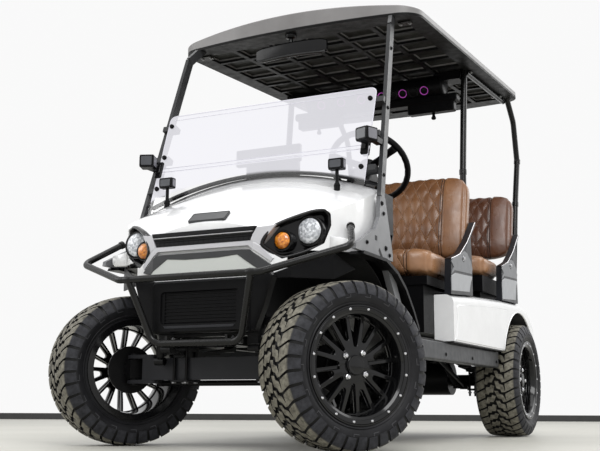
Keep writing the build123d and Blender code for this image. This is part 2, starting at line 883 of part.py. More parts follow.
dash_half = 505
dash_low = 820
dash_outer = under_crest(0, dash_low, dash_half, (dash_y, dash_y + dash_depth))
dash_cavity = under_crest(9, dash_low + 8, dash_half - 8, (dash_y - 10, dash_y + dash_depth - 8))
with BuildPart() as dashboard:
    add(dash_outer)
    add(dash_cavity, mode=Mode.SUBTRACT)
    for pocket_x in (-330, -60):
        pocket_y = (dash_y + dash_depth - 20, dash_y + dash_depth + 5)
        add(block((pocket_x - 110, pocket_x + 110), pocket_y, (850, 930)), mode=Mode.SUBTRACT)
    knee = side_slab(
        [
            (dash_y + dash_depth - 8, dash_low),
            (dash_y + dash_depth, dash_low),
            (toe_top_y + floor_thickness, toe_top_z + seat_gap),
            (toe_top_y, toe_top_z + seat_gap),
        ],
        -dash_half,
        dash_half,
    )
    add(knee)
    add(column_hole, mode=Mode.SUBTRACT)
finished["dashboard"] = dashboard

wheel_plane = Plane(origin=wheel_centre, x_dir=(1, 0, 0), z_dir=wheel_axis)
with BuildPart(wheel_plane) as steering_wheel:
    Torus(wheel_radius, grip_radius)
    with BuildSketch(wheel_plane.offset(-hub_drop)):
        Circle(34)
    extrude(amount=hub_drop - 8)
    with BuildSketch(wheel_plane.offset(-22)):
        with PolarLocations(wheel_radius / 2, 3, start_angle=90):
            Rectangle(wheel_radius, 34)
    extrude(amount=12)
finished["steering_wheel"] = steering_wheel

# ======== rear body: white shell with wheel arches ========
body_back_y = rear_axle_y + 310
body_low = 430
body_wall = 6
body_inner_half = deck_half + seat_gap
shoulder_roll = 40
rear_floor_y = base_back_y + seat_gap
riser_y = seat_front_y + rear_seat_shift + 20
deck_back_y = rear_axle_y + 190


def body_solid(inset, roll):
    """Closed body volume, shrunk by an inset and rolled over at its top edges."""
    top = [(front_axle_y + station, z - inset) for station, z in shoulder_table]
    top[0] = (top[0][0] + inset, top[0][1])
    outline = [
        (top[0][0], body_low - inset),
        *top,
        (body_back_y - 12 - inset, 628),
        (body_back_y - inset, 560),
        (body_back_y - inset, body_low - inset),
    ]
    with BuildPart() as volume:
        add(side_slab(outline, inset - rear_body_half, rear_body_half - inset))
        long_edges = volume.edges().filter_by(lambda e: abs(abs(e.center().X) - rear_body_half + inset) < 1)
        fillet(long_edges.filter_by(lambda e: e.center().Z > 600), roll)
    return volume.part


with BuildPart() as rear_body:
    add(body_solid(0, shoulder_roll))
    add(body_solid(body_wall, shoulder_roll - body_wall), mode=Mode.SUBTRACT)
    add(
        block(
            (-body_inner_half, body_inner_half),
            (front_axle_y + 800, deck_back_y + seat_gap),
            (body_low - 20, deck_z + 10),
        ),
        mode=Mode.SUBTRACT,
    )
    with BuildSketch(Plane.YZ.offset(-700)):
        with Locations((rear_axle_y, axle_z)):
            Circle(rear_arch_radius)
    extrude(amount=1400, mode=Mode.SUBTRACT)
finished["rear_body"] = rear_body

liner_radius = rear_arch_radius - seat_gap
housing_start = 35
housing_span = 115
housing_inner = 404
with BuildPart() as rear_deck:
    add(
        side_slab(
            [
                (rear_floor_y, rail_top + seat_gap),
                (riser_y + body_wall, rail_top + seat_gap),
                (riser_y + body_wall, deck_z - body_wall),
                (deck_back_y - body_wall, deck_z - body_wall),
                (deck_back_y - body_wall, 640),
                (deck_back_y, 640),
                (deck_back_y, deck_z),
                (riser_y, deck_z),
                (riser_y, floor_top),
                (rear_floor_y, floor_top),
            ],
            -deck_half,
            deck_half,
        )
    )
    for side in (-1, 1):
        skirt_x = sorted((side * (deck_half - body_wall), side * deck_half))
        add(block(skirt_x, (riser_y, deck_back_y), (640, deck_z)))
        x_low, x_high = sorted((side * housing_inner, side * (rear_body_half - body_wall - seat_gap)))
        with BuildSketch(Plane.YZ.offset(x_low)):
            with BuildLine():
                outer = CenterArc((rear_axle_y, axle_z), liner_radius + wall, housing_start, housing_span)
                inner = CenterArc((rear_axle_y, axle_z), liner_radius, housing_start, housing_span)
                Line(outer @ 0, inner @ 0)
                Line(outer @ 1, inner @ 1)
            make_face()
        extrude(amount=x_high - x_low)
        web_x = sorted((side * housing_inner, side * (housing_inner + wall)))
        with BuildSketch(Plane.YZ.offset(web_x[0])):
            with BuildLine():
                rim_arc = CenterArc((rear_axle_y, axle_z), liner_radius + wall, housing_start, housing_span)
                Line(rim_arc @ 0, rim_arc @ 1)
            make_face()
        extrude(amount=wall)
        add(block(web_x, (rear_axle_y - 120, rear_axle_y + 120), (620, deck_z - 3)))
finished["rear_deck"] = rear_deck

# ======== rear bumper with a tow plate ========
bumper_y = frame_end_y + seat_gap
bumper_half = rear_body_half - 130
bumper_low = rail_bottom - 5
tow_thickness = 10
tow_hole = 9.5
tow_y = bumper_y + 52
with BuildPart() as rear_bumper:
    add(block((-bumper_half, bumper_half), (bumper_y, bumper_y + 30), (bumper_low, rail_top - 5)))
    fillet(rear_bumper.edges().filter_by(Axis.X), 8)
    add(block((-45, 45), (bumper_y + 10, tow_y + 30), (bumper_low - tow_thickness, bumper_low)))
    with Locations((0, tow_y, bumper_low - tow_thickness / 2)):
        Cylinder(tow_hole, 40, mode=Mode.SUBTRACT)
finished["rear_bumper"] = rear_bumper
tail_lamp_low = 470
with BuildPart() as tail_lamps:
    for side in (-1, 1):
        x_span = sorted((side * (rear_body_half - 170), side * (rear_body_half - 40)))
        add(block(x_span, (body_back_y + seat_gap, body_back_y + 18), (tail_lamp_low, tail_lamp_low + 80)))
    fillet(tail_lamps.edges().filter_by(Axis.Y), 12)
finished["tail_lamps"] = tail_lamps

# ======== roof ========
slope = radians(roof_slope)
roof_plane = Plane(
    origin=(0, roof_front_y, roof_low_z), x_dir=(1, 0, 0), z_dir=(0, -sin(slope), cos(slope))
)


def roof_height(y):
    """Height of the roof's underside at a Y position."""
    return roof_low_z + (y - roof_front_y) * tan(slope)


pocket_pitch_x = 172
pocket_pitch_y = 162
pocket_columns = 6
pocket_rows = 10
rib_width = 22
pocket_depth = 20
front_bow = 58
rear_bow = 40
with BuildPart() as roof:
    with BuildSketch(roof_plane) as outline:
        with BuildLine():
            ThreePointArc((-roof_half, front_bow), (0, 0), (roof_half, front_bow))
            Line((roof_half, front_bow), (roof_half, roof_length - rear_bow))
            ThreePointArc((roof_half, roof_length - rear_bow), (0, roof_length), (-roof_half, roof_length - rear_bow))
            Line((-roof_half, roof_length - rear_bow), (-roof_half, front_bow))
        make_face()
        fillet(outline.vertices(), 105)
    extrude(amount=roof_lip + roof_crown)
    section_plane = Plane(origin=roof_plane.origin, x_dir=(1, 0, 0), z_dir=-roof_plane.y_dir)
    with BuildSketch(section_plane):
        with BuildLine():
            ThreePointArc((-roof_half, roof_lip), (0, roof_lip + roof_crown), (roof_half, roof_lip))
            Polyline((roof_half, roof_lip), (roof_half, 0), (-roof_half, 0), (-roof_half, roof_lip))
        make_face()
    extrude(amount=-roof_length - 10, mode=Mode.INTERSECT)
    fillet(roof.edges().group_by(Axis.Z)[-1], 6)
    with BuildSketch(roof_plane):
        with Locations((0, roof_length / 2)):
            with GridLocations(pocket_pitch_x, pocket_pitch_y, pocket_columns, pocket_rows):
                Rectangle(pocket_pitch_x - rib_width, pocket_pitch_y - rib_width)
    extrude(amount=pocket_depth, mode=Mode.SUBTRACT)
finished["roof"] = roof

roof_cutter_size = 2400
with BuildPart() as above_roof_solid:
    with BuildSketch(roof_plane.offset(-seat_gap)):
        with Locations((0, roof_length / 2)):
            Rectangle(roof_cutter_size, roof_cutter_size)
    extrude(amount=400)
above_roof = above_roof_solid.part

# ======== windshield: two clear panes that lean back ========
pane_half = 487
pane_thickness = 6
pane_lean = radians(18.3)
hinge_y = front_axle_y + 218
hinge_z = 1138
pane_top = 281
hinge_half = 4
pane_plane = Plane(
    origin=(0, hinge_y, hinge_z), x_dir=(1, 0, 0), z_dir=(0, -cos(pane_lean), sin(pane_lean))
)
clip_x = 468
clip_heights = (1052, 1200, 1352)
clip_stations = [(z - hinge_z) / cos(pane_lean) for z in clip_heights]
clip_spots = [(side * clip_x, station) for side in (-1, 1) for station in clip_stations]
pin_radius = 4
with BuildPart() as windshield:
    with BuildSketch(pane_plane.offset(-pane_thickness / 2)) as panes:
        with Locations((0, (pane_top + hinge_half) / 2)):
            Rectangle(2 * pane_half, pane_top - hinge_half)
        fillet(panes.vertices().group_by(Axis.Z)[-1], 24)
        with Locations((0, -(240 + hinge_half) / 2)):
            Rectangle(2 * pane_half, 240 - hinge_half)
    extrude(amount=pane_thickness)
    with BuildSketch(pane_plane.offset(-20)):
        with Locations(*clip_spots):
            Circle(pin_radius + seat_gap)
    extrude(amount=40, mode=Mode.SUBTRACT)
    add(cowl_blocks[seat_gap], mode=Mode.SUBTRACT)
finished["windshield"] = windshield

pane_face = pane_thickness / 2 + seat_gap
hinge_height = 16
with BuildPart() as windshield_hinge:
    for low, high in ((pane_face, pane_face + 2), (-pane_face - 2, -pane_face)):
        with BuildSketch(pane_plane.offset(low)):
            Rectangle(2 * pane_half, hinge_height)
        extrude(amount=high - low)
    with BuildSketch(pane_plane.offset(-pane_face - 1)):
        Rectangle(2 * pane_half, 2 * (hinge_half - seat_gap))
    extrude(amount=2 * pane_face + 2)
finished["windshield_hinge"] = windshield_hinge
with BuildPart() as windshield_clips:
    with BuildSketch(pane_plane.offset(pane_face)):
        with Locations(*clip_spots):
            Circle(13)
    extrude(amount=12)
    with BuildSketch(pane_plane.offset(-pane_face)):
        with Locations(*clip_spots):
            Circle(pin_radius)
    extrude(amount=2 * pane_face)
finished["windshield_clips"] = windshield_clips

# ======== front struts with their side brackets ========
strut_foot = (540, front_axle_y + 200, 930)
strut_bend = (494, front_axle_y + 450, 1710)
strut_top = (458, front_axle_y + 572, 1840)
strut_x = 16
strut_y = 40
bracket_low = cowl_low
bracket_x = (532, 548)
strut_bracket_outline = [
    (front_axle_y - 62, bracket_low),
    (front_axle_y - 58, bracket_low + 18),
    (front_axle_y + 130, 800),
    (front_axle_y + 168, 850),
    (front_axle_y + 176, 932),
    (front_axle_y + 226, 932),
    (front_axle_y + 300, 722),
    (front_axle_y + 300, bracket_low),
]
leg_x = (509, 531.5)
leg_outline = [
    (front_axle_y + 252, 760),
    (front_axle_y + 300, 722),
    (front_axle_y + 520, rocker_high + seat_gap),
    (front_axle_y + 472, rocker_high + seat_gap),
    (front_axle_y + 252, 705),
]
with BuildPart() as front_struts:
    for side in (-1, 1):
        foot = (side * strut_foot[0], *strut_foot[1:])
        bend = (side * strut_bend[0], *strut_bend[1:])
        top = (side * strut_top[0], *strut_top[1:])
        add(bar(foot, bend, strut_x, strut_y))
        add(bar(bend, top, strut_x, strut_y))
        add(side_slab(strut_bracket_outline, *sorted((side * bracket_x[0], side * bracket_x[1]))))
        with Locations(bend):
            Sphere(strut_x / 2)
        with BuildSketch(pane_plane.offset(-pane_face - 38)):
            for z, station in zip(clip_heights, clip_stations):
                with Locations((side * (clip_x + 20), station)):
                    Rectangle(66, 24)
        extrude(amount=38)
        leg_inner, leg_outer = sorted((side * leg_x[0], side * (bracket_x[0] + 1)))
        add(side_slab(leg_outline, leg_inner, leg_outer))
    add(above_roof, mode=Mode.SUBTRACT)
finished["front_struts"] = front_struts

# ======== flares over the front wheels ========
flare_x = (505, 558)
flare_upper = [(-8, 0), (215, 0), (330, -34), (420, -86), (505, -164), (566, -236)]
flare_thickness = 12
with BuildPart() as wheel_flares:
    top_z = cowl_low - seat_gap
    upper = [(front_axle_y + station, top_z + drop) for station, drop in flare_upper]
    lower = [(y - 8, z - flare_thickness) for y, z in reversed(upper)]
    for side in (-1, 1):
        x_span = sorted((side * flare_x[0], side * flare_x[1]))
        add(side_slab(upper + lower, *x_span))
        leg_span = sorted((side * (leg_x[0] - seat_gap), side * (bracket_x[0] + 1 + seat_gap)))
        grown_leg = [(y + dy, z) for (y, z), dy in zip(leg_outline, (-seat_gap, 1, 1, -1, -1))]
        add(side_slab(grown_leg, *leg_span), mode=Mode.SUBTRACT)
finished["wheel_flares"] = wheel_flares

# ======== roof posts ========
middle_foot = base_back_y + 175
middle_points = [
    (middle_foot, floor_top + seat_gap + 3),
    (middle_foot, 800),
    (middle_foot + 10, 1300),
    (middle_foot + 80, 1880),
]
rear_foot = rear_axle_y + 160
rear_points = [
    (rear_foot, shoulder_z(wheelbase + 160) + seat_gap + 6),
    (rear_foot + 130, 1300),
    (rear_foot + 210, 1570),
    (rear_foot + 152, 1796),
    (rear_foot - 50, 1960),
]
with BuildPart() as roof_posts:
    for side in (-1, 1):
        add(tube([(side * middle_post_x, y, z) for y, z in middle_points], 120, post_radius))
        add(tube([(side * rear_post_x, y, z) for y, z in rear_points], 70, post_radius))
        x_span = sorted((side * (middle_post_x - 40), side * (middle_post_x + 8)))
        add(block(x_span, (middle_foot - 40, middle_foot + 40), (floor_top + seat_gap, floor_top + 6)))
        plate = [
            (rear_foot - 45, shoulder_z(wheelbase + 115) + seat_gap),
            (rear_foot + 30, shoulder_z(wheelbase + 190) + seat_gap),
            (rear_foot + 30, shoulder_z(wheelbase + 190) + 10),
            (rear_foot - 45, shoulder_z(wheelbase + 115) + 10),
        ]
        x_span = sorted((side * (rear_post_x - 17), side * (rear_post_x + 27)))
        add(side_slab(plate, *x_span))
        rail_start = middle_foot + 70
        rail_end = rear_foot + 20
        add(
            round_bar(
                (side * (middle_post_x + 14), rail_start, roof_height(rail_start) - 13),
                (side * (middle_post_x + 14), rail_end, roof_height(rail_end) - 13),
                12,
            )
        )
    add(above_roof, mode=Mode.SUBTRACT)
finished["roof_posts"] = roof_posts

# ======== lamp pods beside the windshield and on the cowl ========
# x, y, z of the middle of each pod, its width, depth and height, and its turn about Z
strut_pod = (502, front_axle_y + 160, 1170)
hood_pod = (386, front_axle_y + 141, 1062)
pod_table = [(strut_pod, (61, 61, 54), -22), (hood_pod, (62, 34, 44), 0)]
with BuildPart() as lamp_pods:
    for side in (-1, 1):
        for (x, y, z), (width, depth, height), pod_turn in pod_table:
            with Locations(Location((side * x, y, z), (0, 0, side * pod_turn))):
                Box(width, depth, height)
    fillet(lamp_pods.edges(), 5)
    for side in (-1, 1):
        x_span = sorted((side * 506, side * 532))
        add(block(x_span, (strut_pod[1] + 10, front_axle_y + 248.4), (1148, 1170)))
        hood_x, hood_y, hood_z = hood_pod
        add(round_bar((side * hood_x, hood_y, 930), (side * hood_x, hood_y, hood_z), 7))
        add(round_bar((side * hood_x, hood_y, 930), (side * hood_x, hood_y, 984), 12))
    add(cowl_blocks[seat_gap], mode=Mode.SUBTRACT)
finished["lamp_pods"] = lamp_pods

# ======== mirror, sound bar and display ========
mirror_y = front_axle_y + 505
with BuildPart() as cabin_mirror:
    add(block((-172, 172), (mirror_y - 16, mirror_y + 16), (1672, 1742)))
    fillet(cabin_mirror.edges(), 12)
    add(round_bar((0, mirror_y, 1730), (0, mirror_y, 1830), 9))
    add(round_bar((0, mirror_y, 1766), (0, mirror_y, 1830), 24))
    add(above_roof, mode=Mode.SUBTRACT)
finished["cabin_mirror"] = cabin_mirror

bar_y = middle_foot + 80
bar_z = 1784
bar_radius = 58
bar_half = 380
with BuildPart() as sound_bar:
    add(round_bar((-bar_half, bar_y, bar_z), (bar_half, bar_y, bar_z), bar_radius))
    fillet(sound_bar.edges().filter_by(GeomType.CIRCLE), 10)
    for side in (-1, 1):
        x_span = sorted((side * (bar_half - 40), side * (middle_post_x - post_radius - 2)))
        add(block(x_span, (bar_y - 36, bar_y + 36), (bar_z + 18, bar_z + 80)))
    add(above_roof, mode=Mode.SUBTRACT)
finished["sound_bar"] = sound_bar

with BuildPart() as display:
    display_y = front_axle_y + 308
    add(block((-150, 150), (display_y - 12, display_y + 12), (1140, 1212)))
    fillet(display.edges(), 6)
    add(block((-100, 142), (display_y - 9, display_y + 9), (1020, 1150)))
    add(dash_outer.moved(Location((0, 0, seat_gap))), mode=Mode.SUBTRACT)
finished["display"] = display


for label, piece in finished.items():
    piece.part.label = label
    export_step(piece.part, "parts/" + label + ".step")
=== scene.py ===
import bpy, bmesh, json, math
from mathutils import Matrix, Vector


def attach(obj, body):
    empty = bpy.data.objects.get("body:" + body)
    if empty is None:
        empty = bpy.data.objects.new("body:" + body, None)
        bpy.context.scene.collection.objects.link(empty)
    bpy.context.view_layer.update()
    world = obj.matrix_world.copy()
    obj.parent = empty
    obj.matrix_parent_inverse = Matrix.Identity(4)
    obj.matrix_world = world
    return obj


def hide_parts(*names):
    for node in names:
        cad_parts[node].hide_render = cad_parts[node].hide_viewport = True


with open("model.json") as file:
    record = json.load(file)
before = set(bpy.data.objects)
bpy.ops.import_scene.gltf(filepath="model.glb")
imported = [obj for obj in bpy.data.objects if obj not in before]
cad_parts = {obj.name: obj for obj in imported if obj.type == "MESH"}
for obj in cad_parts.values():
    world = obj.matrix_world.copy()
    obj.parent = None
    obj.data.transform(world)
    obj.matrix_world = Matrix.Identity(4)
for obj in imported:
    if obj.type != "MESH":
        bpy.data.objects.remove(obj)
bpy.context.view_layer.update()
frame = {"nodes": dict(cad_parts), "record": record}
NODES = frame["nodes"]

# metres; y and z of the axles and of the roof's underside in the row frame
FRONT_Y = -1.043
WHEELBASE = 2.040
AXLE_Z = 0.292
ROOF_START, ROOF_LOW, ROOF_SLOPE = 0.460, 1.775, math.tan(math.radians(4.0))
TAU = 2 * math.pi
SIDES = (1, -1)
NAMED_SIDES = ((1, "left"), (-1, "right"))

# ---------------------------------------------------------------- camera, fitted to the photograph
CAM = Vector((1.871, -3.172 + FRONT_Y, 0.160))
FOCAL_PIXELS, PHOTO_WIDTH, SENSOR = 977.684, 600, 36
yaw, pitch, roll = (math.radians(v) for v in (26.356, 10.373, 0.245))
look = Vector((-math.sin(yaw) * math.cos(pitch), math.cos(yaw) * math.cos(pitch), math.sin(pitch)))
across = Vector((math.cos(yaw), math.sin(yaw), 0))
up = across.cross(look)
side_axis = math.cos(roll) * across + math.sin(roll) * up
up_axis = -math.sin(roll) * across + math.cos(roll) * up
cam_data = bpy.data.cameras.new("camera")
cam = bpy.data.objects.new("camera", cam_data)
bpy.context.scene.collection.objects.link(cam)
cam.matrix_world = Matrix.Translation(CAM) @ Matrix((side_axis, up_axis, -look)).transposed().to_4x4()
cam_data.sensor_width = SENSOR
cam_data.lens = SENSOR * FOCAL_PIXELS / PHOTO_WIDTH
cam_data.clip_end = 100
bpy.context.scene.camera = cam
bpy.context.scene.view_settings.view_transform = "Standard"


# ---------------------------------------------------------------- shader helper
class Mat:
    """One Principled material, wired up in a few words."""

    def __init__(self, name, colour, rough=0.5, metal=0.0, spec=0.5, **extra):
        self.mat = bpy.data.materials.new(name)
        self.mat.use_nodes = True
        self.nt = self.mat.node_tree
        self.b = self.nt.nodes["Principled BSDF"]
        extra |= {"Base_Color": (*colour, 1), "Roughness": rough, "Metallic": metal, "Specular_IOR_Level": spec}
        for key, value in extra.items():
            self.b.inputs[key.replace("_", " ")].default_value = value
        self.coord = self.nt.nodes.new("ShaderNodeTexCoord").outputs["Object"]

    def put(self, socket, value):
        """Links an output to the socket, or sets its own value."""
        if hasattr(value, "is_output"):
            self.nt.links.new(value, socket)
        else:
            socket.default_value = value

    def node(self, kind, props=None, **inputs):
        """A node; an input is named, or numbered as i0, i1 and so on."""
        n = self.nt.nodes.new("ShaderNode" + kind)
        for key, value in (props or {}).items():
            setattr(n, key, value)
        for key, value in inputs.items():
            number = key[0] == "i" and key[1:].isdigit()
            self.put(n.inputs[int(key[1:])] if number else n.inputs[key], value)
        return n

    def math(self, op, a, b=0.0):
        return self.node("Math", {"operation": op}, i0=a, i1=b).outputs[0]

    def times(self, a, b):
        return self.math("MULTIPLY", a, b)

    def plus(self, a, b):
        return self.math("ADD", a, b)

    def minus(self, a, b):
        return self.math("SUBTRACT", a, b)

    def size(self, a):
        return self.math("ABSOLUTE", a)

    def xyz(self, vector=None):
        return self.node("SeparateXYZ", Vector=vector or self.coord).outputs

    def normal(self):
        return self.xyz(self.node("TexCoord").outputs["Normal"])

    def radius(self):
        """Distance from the local X axis."""
        x, y, z = self.xyz()
        return self.math("SQRT", self.plus(self.times(y, y), self.times(z, z)))

    def step(self, value, low, high):
        """0 below low, 1 above high, smooth between."""
        props = {"interpolation_type": "SMOOTHSTEP"}
        return self.node("MapRange", props, i0=value, i1=low, i2=high, i3=0.0, i4=1.0).outputs[0]

    def noise(self, scale, detail=4.0, rough=0.5, stretch=None):
        v = self.node("Mapping", Vector=self.coord, Scale=stretch).outputs[0] if stretch else self.coord
        return self.node("TexNoise", Vector=v, Scale=scale, Detail=detail, Roughness=rough).outputs["Fac"]

    def ramp(self, fac, low, high, start=0.3, stop=0.7):
        """Runs from one tone to another; a single number is a grey."""
        n = self.node("ValToRGB", Fac=fac)
        for stop_point, place, tone in zip(n.color_ramp.elements, (start, stop), (low, high)):
            stop_point.position = place
            stop_point.color = (*(tone if isinstance(tone, tuple) else (tone,) * 3), 1)
        return n.outputs[0]

    def cloud(self, noise, low, high, start=0.3, stop=0.7):
        """A ramp over noise of this scale, detail and roughness."""
        return self.ramp(self.noise(*noise), low, high, start, stop)

    def mix(self, fac, a, b):
        n = self.nt.nodes.new("ShaderNodeMix")
        n.data_type = "RGBA"
        for number, value in ((0, fac), (6, a), (7, b)):
            self.put(n.inputs[number], (*value, 1) if isinstance(value, tuple) else value)
        return n.outputs[2]

    def set(self, name, value):
        self.nt.links.new(value, self.b.inputs[name])

    def bump(self, height, strength=0.3, distance=0.001):
        n = self.node("Bump", Height=height, Strength=strength, Distance=distance)
        if self.b.inputs["Normal"].is_linked:
            self.nt.links.new(self.b.inputs["Normal"].links[0].from_socket, n.inputs["Normal"])
        self.set("Normal", n.outputs[0])


def scaled(colour, k):
    return tuple(min(1, c * k) for c in colour)


def paint(name, colour, rough, peel=0.08, metal=0.0, **extra):
    m = Mat(name, colour, rough, metal, **extra)
    m.bump(m.noise(260, 2), peel, 0.0004)
    m.set("Base Color", m.cloud((7, 6, 0.65), scaled(colour, 0.93), colour, 0.35, 0.65))
    m.set("Roughness", m.cloud((30, 5), rough * 0.85, min(1, rough * 1.2)))
    return m.mat


def smooth_paint(name, colour, rough, metal=0.0):
    """Even paint: its tone drifts slowly and only a little."""
    m = Mat(name, colour, rough, metal)
    m.bump(m.noise(320, 2), 0.03, 0.0003)
    m.set("Base Color", m.cloud((2.5, 2), scaled(colour, 0.97), colour))
    m.set("Roughness", m.cloud((18, 3), rough * 0.92, rough * 1.08))
    return m.mat


def plastic(name, colour, rough, grain=0.25, scale=900, **extra):
    m = Mat(name, colour, rough, **extra)
    m.bump(m.noise(scale, 3, 0.6), grain, 0.0005)
    m.set("Base Color", m.cloud((12, 5, 0.6), scaled(colour, 0.82), scaled(colour, 1.12)))
    m.set("Roughness", m.cloud((40, 4), rough * 0.88, min(1, rough * 1.12)))
    return m.mat


def tyre_material():
    """Rubber: dusty on the treads, with a painted bluish sheen on the lugs' sides, dark in the grooves."""
    m = Mat("tyre_rubber", (0.03, 0.03, 0.032), 0.6, spec=0.2)
    x, y, z = m.xyz()
    radius, normal = m.radius(), m.normal()
    radial = m.math("DIVIDE", m.plus(m.times(normal[1], y), m.times(normal[2], z)), radius)
    top = m.times(m.step(radius, 0.2805, 0.2865), m.step(radial, 0.55, 0.85))
    dusty = m.cloud((55, 6, 0.65), (0.050, 0.046, 0.036), (0.26, 0.245, 0.20), 0.28)
    lug = m.times(m.step(radius, 0.232, 0.243), m.step(m.size(x), 0.090, 0.098))
    rubber = m.cloud((30, 5, 0.6), (0.008, 0.008, 0.009), (0.016, 0.016, 0.018))
    # the lugs' sides get a cool bluish tone: painted sheen, a painted reflection of the surroundings
    face = m.cloud((42, 6, 0.7, (0.5, 1, 1)), (0.010, 0.010, 0.012), (0.040, 0.041, 0.048), 0.3, 0.72)
    m.set("Base Color", m.mix(top, m.mix(lug, rubber, face), dusty))
    m.set("Roughness", m.cloud((60, 5), 0.42, 0.68))
    m.bump(m.noise(420, 4, 0.65), 0.35, 0.0009)
    m.bump(m.noise(60, 3, 0.6), 0.25, 0.002)
    return m.mat


def groove_material():
    """The carcass: black in the grooves as painted shade, finely ringed on the wall."""
    m = Mat("tyre_carcass", (0.012, 0.012, 0.013), 0.62, spec=0.18)
    radius = m.radius()
    tread = m.step(radius, 0.236, 0.250)
    wall = m.cloud((24, 5), (0.007, 0.007, 0.008), (0.014, 0.014, 0.016))
    # near black where the carcass lies between the lugs: painted shade in the grooves
    m.set("Base Color", m.mix(tread, wall, (0.003, 0.003, 0.003)))
    m.set("Roughness", m.cloud((50, 4), 0.36, 0.5))
    m.bump(m.math("PINGPONG", radius, 0.003), 0.25, 0.0012)
    m.bump(m.noise(500, 3), 0.2, 0.0005)
    return m.mat


def leather(name, dark, mid, light):
    """Saddle leather with a fine grain, its tone drifting at random."""
    m = Mat(name, mid, 0.3)
    tone = m.node("ValToRGB", Fac=m.noise(5, 5, 0.6))
    stops = tone.color_ramp.elements
    stops.new(0.5)
    for stop, place, colour in zip(stops, (0.28, 0.5, 0.75), (dark, mid, light)):
        stop.position = place
        stop.color = (*colour, 1)
    m.set("Base Color", tone.outputs[0])
    m.set("Roughness", m.cloud((26, 5), 0.24, 0.38))
    cells = {"feature": "DISTANCE_TO_EDGE"}
    grain = m.node("TexVoronoi", cells, Vector=m.coord, Scale=420.0).outputs["Distance"]
    m.bump(m.math("MINIMUM", grain, 0.18), 0.25, 0.0009)
    m.bump(m.noise(38, 4, 0.6), 0.18, 0.004)
    return m


DIAMOND = (0.062, 0.128)   # pitch of the stitching across and up the face


def quilted(name, half, up, dark, mid, light):
    """Leather with stitched diamonds between +-half in x; up is the face's axis, z or y."""
    m = leather(name, dark, mid, light)
    x, y, z = m.xyz()
    v = m.math("DIVIDE", z if up == "z" else m.minus(z, y), DIAMOND[1])
    u = m.math("DIVIDE", x, DIAMOND[0])
    lines = [m.step(m.math("PINGPONG", t, 0.5), 0.0, 0.055) for t in (m.plus(u, v), m.minus(u, v))]
    outside = m.step(m.size(x), half - 0.002, half + 0.002)
    stitches = m.math("MAXIMUM", m.math("MINIMUM", *lines), outside)
    seams = [m.step(m.size(m.minus(m.size(x), place)), 0.0006, 0.0030) for place in (half, half - 0.010)]
    seam = m.math("MINIMUM", *seams)
    shade = m.b.inputs["Base Color"].links[0].from_socket
    ends = m.step(m.size(x), half, half + 0.004)
    shade = m.mix(ends, shade, m.cloud((5, 5, 0.6), mid, scaled(light, 1.2)))
    # stitch lines painted lighter than the leather: a painted highlight along them
    shade = m.mix(m.step(stitches, 0.0, 0.45), scaled(light, 1.55), shade)
    shade = m.mix(m.step(seam, 0.0, 0.8), scaled(dark, 0.55), shade)
    m.set("Base Color", shade)
    m.bump(m.math("MINIMUM", stitches, seam), 0.85, 0.004)
    return m.mat


def clear_material():
    """Clear plastic with a painted reflection, a pale cloudy glow, so what is dark behind it turns pale."""
    m = Mat("clear_pane", (0.86, 0.85, 0.9), 0.1)
    # the emission is a painted reflection of the bright surroundings on the pane
    painted_reflection = m.node("Emission", Color=m.cloud((2.0, 2), (0.915, 0.91, 0.97), (0.93, 0.925, 0.985)), Strength=1.0)
    # no painted reflection where the pane lies against the dark crest
    x, y, z = m.xyz()
    crest_z = m.minus(1.075, m.times(m.times(x, x), 0.34))
    over = m.step(m.minus(z, crest_z), 0.000, 0.014)
    amount = m.plus(m.times(m.noise(4, 3), 0.06), 0.46)
    clear, gloss = m.node("BsdfTransparent"), m.node("BsdfGlossy", Roughness=0.04)
    reflection_mix = m.node("MixShader", i0=m.times(amount, over), i1=clear.outputs[0], i2=painted_reflection.outputs[0])
    pane = m.node("MixShader", i0=0.06, i1=reflection_mix.outputs[0], i2=gloss.outputs[0])
    m.nt.links.new(pane.outputs[0], m.nt.nodes["Material Output"].inputs["Surface"])
    return m.mat


def roof_material():
    """Black liner underneath, a mid-grey skin on the rim and the top."""
    m = Mat("roof_shell", (0.05, 0.05, 0.052), 0.4)
    x, y, z = m.xyz()
    under = m.plus(m.times(m.minus(y, FRONT_Y + ROOF_START), ROOF_SLOPE), ROOF_LOW)
    lift = m.minus(z, under)
    down = m.step(m.times(m.normal()[2], -1.0), 0.3, 0.6)
    skin = m.times(m.step(lift, 0.011, 0.013), m.minus(1.0, down))
    panel = m.times(m.step(lift, 0.0185, 0.0195), down)
    black = m.cloud((9, 5), 0.005, 0.010)
    # the pads a little lighter and grey-green: a painted glimmer of highlight on them
    pad = m.cloud((5, 5, 0.6), (0.009, 0.0095, 0.0085), (0.030, 0.031, 0.028), 0.3, 0.72)
    grey = m.cloud((6, 4), (0.16, 0.155, 0.155), (0.21, 0.205, 0.205))
    m.set("Base Color", m.mix(skin, m.mix(panel, black, pad), grey))
    m.set("Roughness", m.mix(skin, m.cloud((30, 4), 0.32, 0.5), (0.38, 0.38, 0.38)))
    m.set("Specular IOR Level", m.mix(skin, (0.08, 0.08, 0.08), (0.4, 0.4, 0.4)))
    m.bump(m.noise(700, 3, 0.6), 0.2, 0.0006)
    return m.mat


def strut_material():
    """Powder coat: pale on the foot plates, dark on the posts above them."""
    m = Mat("strut_coat", (0.17, 0.172, 0.18), 0.34, metal=0.1, spec=0.3)
    plate = m.cloud((7, 4), (0.15, 0.152, 0.16), (0.19, 0.193, 0.202))
    post = m.cloud((7, 4), (0.020, 0.0205, 0.022), (0.034, 0.035, 0.037))
    m.set("Base Color", m.mix(m.step(m.xyz()[2], 0.900, 0.960), plate, post))
    m.set("Roughness", m.cloud((30, 5), 0.30, 0.42))
    m.bump(m.noise(260, 2), 0.15, 0.0004)
    return m.mat


